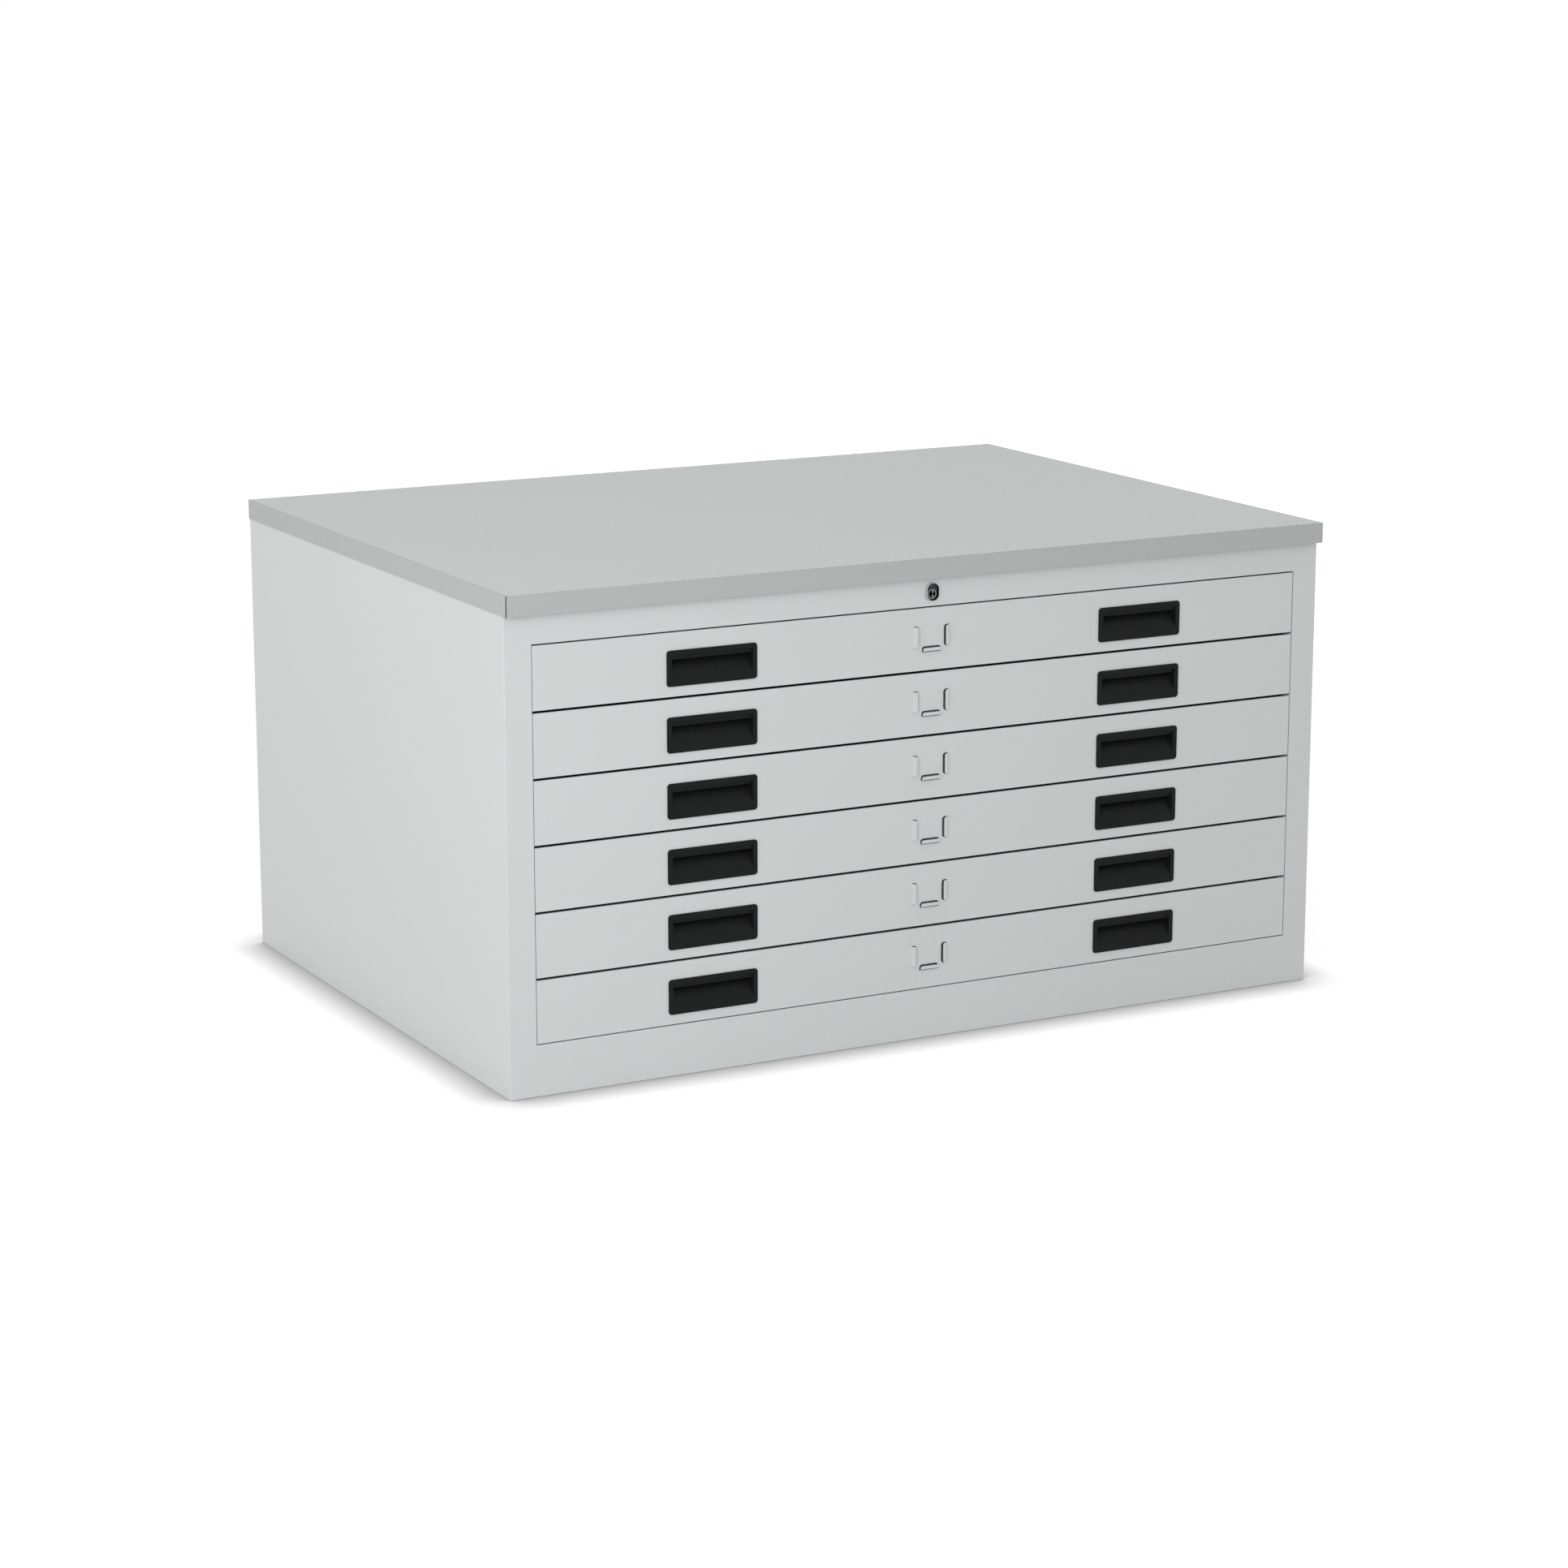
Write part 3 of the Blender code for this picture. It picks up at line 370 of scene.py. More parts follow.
def makeFinish(name, colour, values):
    # Uneven tone, optional specks, and grain that drives the roughness and the bump.
    material, tree, shader = newMaterial(name, values["fixed"])
    tone = useGroup(tree, unevenTone, {
        "Colour": fromSrgb(colour), "Drift": values["drift"], "Scale": values["driftScale"],
    })
    base = tone.outputs["Colour"]
    if "speckColour" in values:
        dots = useGroup(tree, specks, {"Scale": values["speckScale"], "Size": values["speckSize"]})
        base = layerSpecks(tree, base, dots.outputs["Mask"], values["speckAmount"], values["speckColour"])
    grain = useGroup(tree, fineGrain, {
        "Grain Scale": values["grainScale"], "Swell Scale": values["swellScale"], "Swell": values["swell"],
        "Roughness": values["roughness"], "Roughness Drift": values["roughnessDrift"],
    })
    tree.links.new(base, shader.inputs["Base Color"])
    tree.links.new(grain.outputs["Roughness"], shader.inputs["Roughness"])
    addBump(tree, shader, grain.outputs["Height"], values["bump"], values["bumpDistance"])
    return material


bodyPaint = {
    "colour": (207, 209, 209),
    "paintedShadeAndGlueColour": (38, 39, 39),  # painted shade under the drawers' and the top rail's folded edges, and the dark glue line at the worktop's corners
    "fixed": {"Specular IOR Level": 0.4},
    "drift": 0.006,
    "driftScale": 2.2,
    "roughness": 0.42,
    "roughnessDrift": 0.03,
    "grainScale": 1260.0,
    "swellScale": 420.0,
    "swell": 0.75,
    "bump": 0.10,
    "bumpDistance": 0.00008,
}

laminate = {
    "colour": (201, 203, 203),
    "edgeColour": (178, 180, 179),
    "fixed": {"Specular IOR Level": 0.35},
    "drift": 0.008,
    "driftScale": 1.6,
    "speckColour": (168, 170, 169),
    "speckAmount": 0.10,
    "speckScale": 520.0,
    "speckSize": 0.35,
    "roughness": 0.5,
    "roughnessDrift": 0.05,
    "grainScale": 1600.0,
    "swellScale": 260.0,
    "swell": 0.4,
    "bump": 0.15,
    "bumpDistance": 0.00008,
}

pullPlastic = {
    "colour": (25, 27, 26),
    "fixed": {"Specular IOR Level": 0.10},
    "drift": 0.08,
    "driftScale": 60.0,
    "speckColour": (70, 72, 71),
    "speckAmount": 0.35,
    "speckScale": 130.0,
    "speckSize": 0.10,
    "roughness": 0.46,
    "roughnessDrift": 0.05,
    "grainScale": 1100.0,
    "swellScale": 240.0,
    "swell": 0.3,
    "bump": 0.35,
    "bumpDistance": 0.00015,
}

metalBumpDistance = 0.0001
metals = {  # colour, drift, scale of the drift, roughness, grain, bump
    "chrome": ((214, 215, 217), 0.02, 90.0, 0.10, 1500.0, 0.05),
    "plugFace": ((150, 152, 152), 0.05, 240.0, 0.24, 1800.0, 0.12),
    "zincSteel": ((172, 175, 177), 0.10, 120.0, 0.40, 300.0, 0.12),
    "brightSteel": ((166, 168, 171), 0.06, 45.0, 0.33, 700.0, 0.15),
    # The next two are painted shade for the lock's recess and plug, not metals of their own.
    "paintedDeepShade": ((20, 21, 21), 0.10, 300.0, 0.45, 1400.0, 0.2),
    "paintedRecessShade": ((62, 64, 64), 0.10, 300.0, 0.42, 1400.0, 0.25),
}


def makeMetal(name):
    colour, drift, driftScale, roughness, grain, bump = metals[name]
    return makeFinish(name, colour, {
        "fixed": {"Metallic": 1.0}, "drift": drift, "driftScale": driftScale,
        "roughness": roughness, "roughnessDrift": roughness * 0.25,
        "grainScale": grain * 2, "swellScale": grain / 3, "swell": 0.5,
        "bump": bump, "bumpDistance": metalBumpDistance,
    })


finishes = {
    "body_paint": makeFinish("bodyPaint", bodyPaint["colour"], bodyPaint),
    "worktop_laminate": makeFinish("worktopLaminate", laminate["colour"], laminate),
    "edge_band": makeFinish("edgeBand", laminate["edgeColour"], laminate),
    "pull_plastic": makeFinish("pullPlastic", pullPlastic["colour"], pullPlastic),
    "runner_steel": makeMetal("zincSteel"),
    "lock_chrome": makeMetal("chrome"),
    "lock_steel": makeMetal("brightSteel"),
}
# Dark paint that stands in for shade under folded edges, and is also the worktop bands' glue line.
paintedShadeAndGlue = makeFinish("paintedShadeAndGlue", bodyPaint["paintedShadeAndGlueColour"], bodyPaint)
plugFace = makeMetal("plugFace")
# Dark metals that stand in for shade in the lock's recess and plug.
paintedRecessShade = makeMetal("paintedRecessShade")
paintedDeepShade = makeMetal("paintedDeepShade")
print("materials are built")


def slotOf(node):
    # The record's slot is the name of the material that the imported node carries.
    return node.data.materials[0].name.split(".")[0]


nodeSlots = {name: slotOf(node) for name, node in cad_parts.items()}
for nodeName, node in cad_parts.items():
    for place in node.material_slots:
        place.material = finishes[nodeSlots[nodeName]]
print("node finishes:", sorted(set(nodeSlots.values())))


# Mesh tools

overrun = 0.01  # how far a cutting shape reaches past what it cuts


def newObject(name, mesh):
    thing = bpy.data.objects.new(name, mesh)
    bpy.context.scene.collection.objects.link(thing)
    return thing


def fromShape(name, shape):
    mesh = bpy.data.meshes.new(name)
    shape.to_mesh(mesh)
    shape.free()
    return newObject(name, mesh)


def extrudeOutline(name, outline, axis, start, end):
    # The outline's two numbers are the two axes that it isn't extruded along.
    place = {
        "x": lambda u, v, w: (w, u, v),
        "y": lambda u, v, w: (u, w, v),
        "z": lambda u, v, w: (u, v, w),
    }[axis]
    shape = bmesh.new()
    near = [shape.verts.new(place(u, v, start)) for u, v in outline]
    far = [shape.verts.new(place(u, v, end)) for u, v in outline]
    shape.faces.new(near)
    shape.faces.new(far[::-1])
    for index in range(len(outline)):
        after = (index + 1) % len(outline)
        shape.faces.new((near[index], far[index], far[after], near[after]))
    bmesh.ops.recalc_face_normals(shape, faces=shape.faces)
    return fromShape(name, shape)


def rectangle(lowU, highU, lowV, highV):
    return [(lowU, lowV), (highU, lowV), (highU, highV), (lowU, highV)]


def circle(centreU, centreV, radius, steps=48):
    turns = [2 * math.pi * step / steps for step in range(steps)]
    return [(centreU + radius * math.cos(turn), centreV + radius * math.sin(turn)) for turn in turns]


def roundedRectangle(lowU, highU, lowV, highV, radius, steps=8):
    corners = [
        (highU - radius, highV - radius, 0),
        (lowU + radius, highV - radius, 1),
        (lowU + radius, lowV + radius, 2),
        (highU - radius, lowV + radius, 3),
    ]
    points = []
    for centreU, centreV, quarter in corners:
        for step in range(steps + 1):
            turn = (quarter + step / steps) * math.pi / 2
            points.append((centreU + radius * math.cos(turn), centreV + radius * math.sin(turn)))
    return points


def stadium(centreU, centreV, width, height, steps=48):
    # A slot shape, taller than wide.
    radius = width / 2
    straight = height / 2 - radius
    points = []
    for side in (1, -1):
        for step in range(steps // 2 + 1):
            turn = math.pi * step / (steps // 2)
            points.append((
                centreU + side * radius * math.cos(turn),
                centreV + side * (straight + radius * math.sin(turn)),
            ))
    return points


def bake(thing):
    # Turns an object with its modifiers into a plain mesh.
    graph = bpy.context.evaluated_depsgraph_get()
    mesh = bpy.data.meshes.new_from_object(thing.evaluated_get(graph))
    thing.modifiers.clear()
    thing.data = mesh
    return thing


def combine(thing, operation, tools):
    for tool in tools:
        change = thing.modifiers.new(operation.lower(), "BOOLEAN")
        change.operation = operation
        change.solver = "EXACT"
        change.object = tool
    bake(thing)
    for tool in tools:
        bpy.data.objects.remove(tool, do_unlink=True)
    return thing


def bevelWhere(thing, width, steps, chosen):
    # Rounds the edges whose two ends both pass the test.
    shape = bmesh.new()
    shape.from_mesh(thing.data)
    edges = [edge for edge in shape.edges if all(chosen(vert.co) for vert in edge.verts)]
    bmesh.ops.bevel(shape, geom=edges, offset=width, segments=steps, profile=0.5, affect="EDGES")
    shape.to_mesh(thing.data)
    shape.free()


def soften(thing, width, segments, angle=40):
    # Rounds what is still sharp, and keeps the flat faces flat in the shading.
    if width > 0:
        bevel = thing.modifiers.new("bevel", "BEVEL")
        bevel.width = width
        bevel.segments = segments
        bevel.limit_method = "ANGLE"
        bevel.angle_limit = math.radians(angle)
        bevel.use_clamp_overlap = True
        bake(thing)
    thing.data.shade_smooth()
    thing.data.set_sharp_from_angle(angle=math.radians(angle))
    weight = thing.modifiers.new("weight", "WEIGHTED_NORMAL")
    weight.keep_sharp = True
    weight.weight = 80
    return bake(thing)


def paintShadeOnUndersides(thing, steepness=0.5):
    # Faces that look down are painted dark as shade, so the gaps below the folded edges stay deep.
    thing.data.materials.append(paintedShadeAndGlue)
    for polygon in thing.data.polygons:
        if polygon.normal.z < -steepness:
            polygon.material_index = len(thing.data.materials) - 1


def finishPiece(thing, body, replaced, material=None):
    if material is not None:
        thing.data.materials.clear()
        thing.data.materials.append(material)
    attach(thing, body)
    if replaced:
        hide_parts(*replaced)
    return thing


def copyOfNode(name, node):
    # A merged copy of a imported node, whose own mesh is loose triangles.
    shape = bmesh.new()
    shape.from_mesh(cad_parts[node].data)
    bmesh.ops.remove_doubles(shape, verts=shape.verts, dist=0.000002)
    bmesh.ops.dissolve_limit(
        shape, angle_limit=math.radians(0.5), verts=shape.verts, edges=shape.edges, delimit=set(),
    )
    return fromShape(name, shape)


# Geometry node tools

def newTree(name, inputs):
    # A modifier tree with named inputs after its geometry. Each input is (label, kind, value).
    tree = bpy.data.node_groups.new(name, "GeometryNodeTree")
    tree.is_modifier = True
    tree.interface.new_socket(name="Geometry", in_out="INPUT", socket_type="NodeSocketGeometry")
    tree.interface.new_socket(name="Geometry", in_out="OUTPUT", socket_type="NodeSocketGeometry")
    for label, kind, value in inputs:
        socket = tree.interface.new_socket(name=label, in_out="INPUT", socket_type=kind)
        if value is not None:
            socket.default_value = value
    return tree, addNode(tree, "NodeGroupInput"), addNode(tree, "NodeGroupOutput")


def closeTree(tree, start, end, geometry):
    # Every tree ends by turning its copies into real mesh and giving them their finish.
    real = addNode(tree, "GeometryNodeRealizeInstances")
    finish = addNode(tree, "GeometryNodeSetMaterial")
    tree.links.new(geometry, real.inputs["Geometry"])
    tree.links.new(real.outputs["Geometry"], finish.inputs["Geometry"])
    tree.links.new(start.outputs["Finish"], finish.inputs["Material"])
    tree.links.new(finish.outputs["Geometry"], end.inputs["Geometry"])


def applyTree(thing, tree, values):
    # The inputs are set by their sockets' identifiers before the object is first evaluated.
    change = thing.modifiers.new(tree.name, "NODES")
    change.node_group = tree
    for item in tree.interface.items_tree:
        if item.item_type == "SOCKET" and item.in_out == "INPUT" and item.name in values:
            change[item.identifier] = values[item.name]
    return bake(thing)


def vector(tree, x=None, y=None, z=None):
    node = addNode(tree, "ShaderNodeCombineXYZ")
    for axis, source in (("X", x), ("Y", y), ("Z", z)):
        if source is not None:
            tree.links.new(source, node.inputs[axis])
    return node.outputs[0]


def maths(tree, operation, first, second):
    node = addNode(tree, "ShaderNodeMath", {"operation": operation})
    for index, value in enumerate((first, second)):
        if isinstance(value, (int, float)):
            node.inputs[index].default_value = value
        else:
            tree.links.new(value, node.inputs[index])
    return node.outputs[0]


def moved(tree, geometry, translation, turn=0.0):
    node = addNode(tree, "GeometryNodeTransform", None, {"Rotation": (0.0, math.radians(turn), 0.0)})
    tree.links.new(geometry, node.inputs["Geometry"])
    tree.links.new(translation, node.inputs["Translation"])
    return node.outputs["Geometry"]


def drawerDrop(tree, start):
    # How far a drawer stands under the top one.
    drop = maths(tree, "MULTIPLY", start.outputs["Pitch"], start.outputs["Index"])
    return maths(tree, "MULTIPLY", drop, -1.0)


# Drawer fronts

faceLow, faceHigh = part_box("drawer_1_front")
pitch = faceLow.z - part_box("drawer_2_front")[0].z
drawerFace = {
    "skin": 0.0010,
    "depth": 0.018,
    "hem": 0.0024,  # thickness of the doubled upper and lower edges
    "returnDrop": 0.0035,  # from an edge in to the flange behind it
    "edgeRadius": 0.0006,
    "edgeSteps": 3,
    "inset": 0.0003,  # room left above and below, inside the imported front
    "lineDrop": 0.0006,  # from the front's lower edge down to the drawer's own line
    "holeMargin": 0.0042,  # from the pull's rim in to the hole behind it
    "holeFoot": 0.0062,
    "holeRadius": 0.002,
    "holeReach": 0.002,  # past the skin, for the cutters
}
faceY = faceHigh.y - drawerFace["depth"]
lineZ = faceLow.z - drawerFace["lineDrop"]

lance = {
    "length": 0.0245,
    "width": 0.0056,
    "rise": 0.0029,
    "ramp": 0.0020,  # width of the slope beside the fold
    "corner": 0.0026,
    "skin": 0.0009,
    "edge": 0.00018,
    "slit": 0.0018,
    "endSlit": 0.0005,
    "spacing": 0.043,  # between the two upright ones
    "sideHeight": 0.0415,  # above the drawer's line
    "lowerHeight": 0.0255,
    "rows": 14,
    "columns": 12,
}


def lanceEnd(across):
    # Half the length of the tongue at a distance from its middle line.
    radius = lance["corner"]
    start = lance["width"] / 2 - radius
    half = lance["length"] / 2
    if across <= start:
        return half
    return half - radius + math.sqrt(max(radius ** 2 - (across - start) ** 2, 0))


def lanceProud(across):
    # Flush at the fold, then a soft joggle up to the flat part.
    share = min(max((across + lance["width"] / 2) / lance["ramp"], 0), 1)
    return lance["rise"] * share * share * (3 - 2 * share)


def tongueRow(share):
    # Half of the rows lie in the slope and the rest on the flat, closer at the round end.
    half = lance["width"] / 2
    if share <= 0.5:
        return -half + lance["ramp"] * share * 2
    return -half + lance["ramp"] + (lance["width"] - lance["ramp"]) * math.sin((share - 0.5) * math.pi)


def makeLanceTongue():
    # A tongue cut free on three sides and pressed out, open towards +X, round its own middle.
    shape = bmesh.new()
    sides = []
    for depth in (0.0, lance["skin"]):
        grid = []
        for row in range(lance["rows"] + 1):
            across = tongueRow(row / lance["rows"])
            end = lanceEnd(across)
            level = depth - lanceProud(across)
            grid.append([
                shape.verts.new((across, level, end * (2 * column / lance["columns"] - 1)))
                for column in range(lance["columns"] + 1)
            ])
        sides.append(grid)
    outer, inner = sides
    rows, columns = lance["rows"], lance["columns"]
    for row in range(rows):
        for column in range(columns):
            for grid in (outer, inner):
                here, beyond = grid[row], grid[row + 1]
                shape.faces.new((here[column], beyond[column], beyond[column + 1], here[column + 1]))
    rim = [(0, column) for column in range(columns)] + [(row, columns) for row in range(rows)]
    rim += [(rows, column) for column in range(columns, 0, -1)] + [(row, 0) for row in range(rows, 0, -1)]
    for index, (row, column) in enumerate(rim):
        nextRow, nextColumn = rim[(index + 1) % len(rim)]
        shape.faces.new([
            outer[row][column], outer[nextRow][nextColumn], inner[nextRow][nextColumn], inner[row][column],
        ])
    bmesh.ops.recalc_face_normals(shape, faces=shape.faces)
    return soften(fromShape("lanceTongue", shape), lance["edge"], 2, 50)


def lanceHole():
    # The hole under a tongue, with its slit on the open side, round the tongue's middle.
    half = lance["width"] / 2
    reach = lance["length"] / 2 + lance["endSlit"]
    side = half + lance["slit"]
    radius = lance["corner"] + lance["slit"] / 2
    upper = []
    for step in range(7):
        turn = step / 6 * math.pi / 2
        upper.append((side - radius + radius * math.cos(turn), reach - radius + radius * math.sin(turn)))
    upper.append((-half + 0.0002, reach))
    return upper + [(across, -along) for across, along in upper[::-1]]


def lancePlaces():
    # Where the three lances are: middle, and how many degrees each is turned.
    sideZ = lineZ + lance["sideHeight"]
    halfSpacing = lance["spacing"] / 2
    return [(-halfSpacing, sideZ, 0), (halfSpacing, sideZ, 180), (0, lineZ + lance["lowerHeight"], -90)]


def turnedOutline(outline, centreX, centreZ, turn):
    angle = math.radians(turn)
    points = []
    for across, along in outline:
        points.append((
            centreX + across * math.cos(angle) + along * math.sin(angle),
            centreZ - across * math.sin(angle) + along * math.cos(angle),
        ))
    return points


def makeFacePanel():
    # The top drawer's folded front, with its pull holes and the holes under the lances.
    skin, depth = drawerFace["skin"], drawerFace["depth"]
    bottom, top = faceLow.z + drawerFace["inset"], faceHigh.z - drawerFace["inset"]
    outline = rectangle(faceLow.x, faceHigh.x, bottom, top)
    panel = extrudeOutline("facePanel", outline, "y", faceY, faceHigh.y)
    edge, steps = drawerFace["edgeRadius"], drawerFace["edgeSteps"]
    bevelWhere(panel, edge, steps, lambda point: point.y < faceY + skin / 2)
    drop, hemY = drawerFace["returnDrop"], faceY + drawerFace["hem"]
    hollow = rectangle(faceLow.x + skin, faceHigh.x - skin, bottom + drop + skin, top - drop - skin)
    left, right = faceLow.x - overrun, faceHigh.x + overrun
    above = rectangle(left, right, top - drop, top + overrun)
    below = rectangle(left, right, bottom - overrun, bottom + drop)
    cutters = [
        extrudeOutline("hollow", hollow, "y", faceY + skin, faceHigh.y + overrun),
        extrudeOutline("above", above, "y", hemY, faceHigh.y + overrun),
        extrudeOutline("below", below, "y", hemY, faceHigh.y + overrun),
    ]
    behind = faceY + skin + drawerFace["holeReach"]
    for side in ("left", "right"):
        low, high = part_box(f"drawer_1_pull_{side}")
        margin, foot = drawerFace["holeMargin"], drawerFace["holeFoot"]
        lowX, highX, lowZ, highZ = low.x + margin, high.x - margin, low.z + foot, high.z - margin
        hole = roundedRectangle(lowX, highX, lowZ, highZ, drawerFace["holeRadius"])
        cutters.append(extrudeOutline("pullHole", hole, "y", faceY - overrun, behind))
    for centreX, centreZ, turn in lancePlaces():
        hole = turnedOutline(lanceHole(), centreX, centreZ, turn)
        cutters.append(extrudeOutline("lanceHole", hole, "y", faceY - overrun, behind))
    return soften(combine(panel, "DIFFERENCE", cutters), 0, 0, 40)


def makeFaceTree():
    tree, start, end = newTree("drawerFace", [
        ("Lance", "NodeSocketObject", None),
        ("Lance Spacing", "NodeSocketFloat", 0.043),
        ("Side Height", "NodeSocketFloat", 0.49),
        ("Lower Height", "NodeSocketFloat", 0.475),
        ("Face", "NodeSocketFloat", -0.393),
        ("Pitch", "NodeSocketFloat", 0.0775),
        ("Index", "NodeSocketInt", 0),
        ("Finish", "NodeSocketMaterial", None),
    ])
    tongue = addNode(tree, "GeometryNodeObjectInfo", {"transform_space": "ORIGINAL"})
    tree.links.new(start.outputs["Lance"], tongue.inputs["Object"])
    join = addNode(tree, "GeometryNodeJoinGeometry")
    tree.links.new(start.outputs["Geometry"], join.inputs[0])
    face = start.outputs["Face"]
    right = maths(tree, "MULTIPLY", start.outputs["Lance Spacing"], 0.5)
    left = maths(tree, "MULTIPLY", start.outputs["Lance Spacing"], -0.5)
    side, lower = start.outputs["Side Height"], start.outputs["Lower Height"]
    for translation, turn in (
        (vector(tree, left, face, side), 0),
        (vector(tree, right, face, side), 180),
        (vector(tree, None, face, lower), -90),
    ):
        tree.links.new(moved(tree, tongue.outputs["Geometry"], translation, turn), join.inputs[0])
    dropped = moved(tree, join.outputs[0], vector(tree, None, None, drawerDrop(tree, start)))
    closeTree(tree, start, end, dropped)
    return tree


def makeDrawerFaces():
    panel = makeFacePanel()
    tongue = makeLanceTongue()
    tree = makeFaceTree()
    for index, drawer in enumerate(drawerNames):
        face = newObject(f"{drawer}_face", panel.data.copy())
        applyTree(face, tree, {
            "Lance": tongue,
            "Lance Spacing": lance["spacing"],
            "Side Height": lineZ + lance["sideHeight"],
            "Lower Height": lineZ + lance["lowerHeight"],
            "Face": faceY,
            "Pitch": pitch,
            "Index": index,
            "Finish": finishes["body_paint"],
        })
        # The front's downward faces get painted shade.
        paintShadeOnUndersides(face)
        finishPiece(face, drawer, [f"{drawer}_front"])
    for spare in (panel, tongue):
        bpy.data.objects.remove(spare, do_unlink=True)


makeDrawerFaces()
print("drawer fronts are built")


# Pulls

pull = {
    "corner": 0.004,
    "rimProud": 0.0015,
    "rimEdge": 0.0007,
    "sideRim": 0.006,
    "topRim": 0.006,
    "bottomRim": 0.008,
    "lipHeight": 0.0045,
    "lipSetback": 0.0026,  # from the rim's face back to the lip
    "lipThickness": 0.0016,
    "depth": 0.011,  # of the recess, behind the drawer's face
    "backHeight": 0.003,
    "wall": 0.0012,
    "floorSteps": 14,
    "bendY": 0.0012,  # where the curved floor is drawn to, from the rim's face
    "bendRise": 0.0085,
    "floorOverlap": 0.0003,
    "mouthReach": 0.002,  # the cutting shape in front of the rim, and under the mouth
    "mouthDrop": 0.012,
    "innerEdge": 0.0004,
}


def recessProfile(face, bottom, top):
    # From above the mouth, round the lip, up behind it, down the back and out along the floor.
    low = bottom + pull["bottomRim"]
    high = top - pull["topRim"]
    lipLow = high - pull["lipHeight"]
    lipY = face + pull["lipSetback"]
    back = faceY + pull["depth"]
    rampTop = lipLow - pull["backHeight"]
    lipBack = lipY + pull["lipThickness"]
    outside = face - pull["mouthReach"]
    profile = [
        (outside, high), (lipY, high), (lipY, lipLow), (lipBack, lipLow), (lipBack, high), (back, high),
    ]
    bend = (face + pull["bendY"], low + pull["bendRise"])
    for step in range(pull["floorSteps"] + 1):
        share = step / pull["floorSteps"]
        keep = (1 - share) ** 2
        pulled = 2 * share * (1 - share)
        reach = share ** 2
        profile.append((
            keep * back + pulled * bend[0] + reach * (face - pull["floorOverlap"]),
            keep * rampTop + pulled * bend[1] + reach * low,
        ))
    profile.append((outside, low - pull["mouthDrop"]))
    return profile


def makePullBody():
    # The left pull of the top drawer.
    low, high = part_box("drawer_1_pull_left")
    face = low.y
    rim = roundedRectangle(low.x, high.x, low.z, high.z, pull["corner"])
    body = extrudeOutline("pullBody", rim, "y", face, face + pull["rimProud"])
    bevelWhere(body, pull["rimEdge"], 3, lambda point: point.y < face + pull["rimProud"] / 2)
    wall, side = pull["wall"], pull["sideRim"]
    back = faceY + pull["depth"] + wall
    shellLow, shellHigh = low.z + pull["bottomRim"] - wall, high.z - pull["topRim"] + wall
    shell = rectangle(low.x + side - wall, high.x - side + wall, shellLow, shellHigh)
    combine(body, "UNION", [extrudeOutline("shell", shell, "y", face + pull["rimProud"] / 2, back)])
    recess = recessProfile(face, low.z, high.z)
    combine(body, "DIFFERENCE", [extrudeOutline("recess", recess, "x", low.x + side, high.x - side)])
    return soften(body, pull["innerEdge"], 2, 35)


def makePullTree():
    tree, start, end = newTree("pullPair", [
        ("Spacing", "NodeSocketFloat", 0.58),
        ("Pitch", "NodeSocketFloat", 0.0775),
        ("Index", "NodeSocketInt", 0),
        ("Finish", "NodeSocketMaterial", None),
    ])
    line = addNode(tree, "GeometryNodeMeshLine", {"mode": "OFFSET"}, {"Count": 2})
    tree.links.new(vector(tree, start.outputs["Spacing"]), line.inputs["Offset"])
    tree.links.new(vector(tree, None, None, drawerDrop(tree, start)), line.inputs["Start Location"])
    copies = addNode(tree, "GeometryNodeInstanceOnPoints")
    tree.links.new(line.outputs["Mesh"], copies.inputs["Points"])
    tree.links.new(start.outputs["Geometry"], copies.inputs["Instance"])
    closeTree(tree, start, end, copies.outputs["Instances"])
    return tree


def makePulls():
    body = makePullBody()
    tree = makePullTree()
    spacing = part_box("drawer_1_pull_right")[0].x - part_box("drawer_1_pull_left")[0].x
    for index, drawer in enumerate(drawerNames):
        pair = newObject(f"{drawer}_pulls", body.data.copy())
        applyTree(pair, tree, {
            "Spacing": spacing, "Pitch": pitch, "Index": index, "Finish": finishes["pull_plastic"],
        })
        finishPiece(pair, drawer, [f"{drawer}_pull_left", f"{drawer}_pull_right"])
    bpy.data.objects.remove(body, do_unlink=True)


makePulls()
print("pulls are built")


# Lock

bezel = {
    "edge": 0.0004,
    "edgeSteps": 3,
    "rim": 0.0005,
    "innerEdge": 0.00015,
    "recess": 0.0024,
    "proud": 0.0030,
    "barrelRadius": 0.0085,
    "boreRadius": 0.0063,
}

plug = {
    "radius": 0.0060,
    "chamfer": 0.0004,
    "ring": 0.0009,  # width of the outer ring
    "groove": 0.0007,
    "keyChamfer": 0.0006,
    "grooveDepth": 0.0006,
    "dish": 0.0003,  # how far the middle stands behind the ring
    "keyWidth": 0.0015,
    "keyHeight": 0.0068,
    "keyDepth": 0.010,
    "keyStep": 0.0009,
}


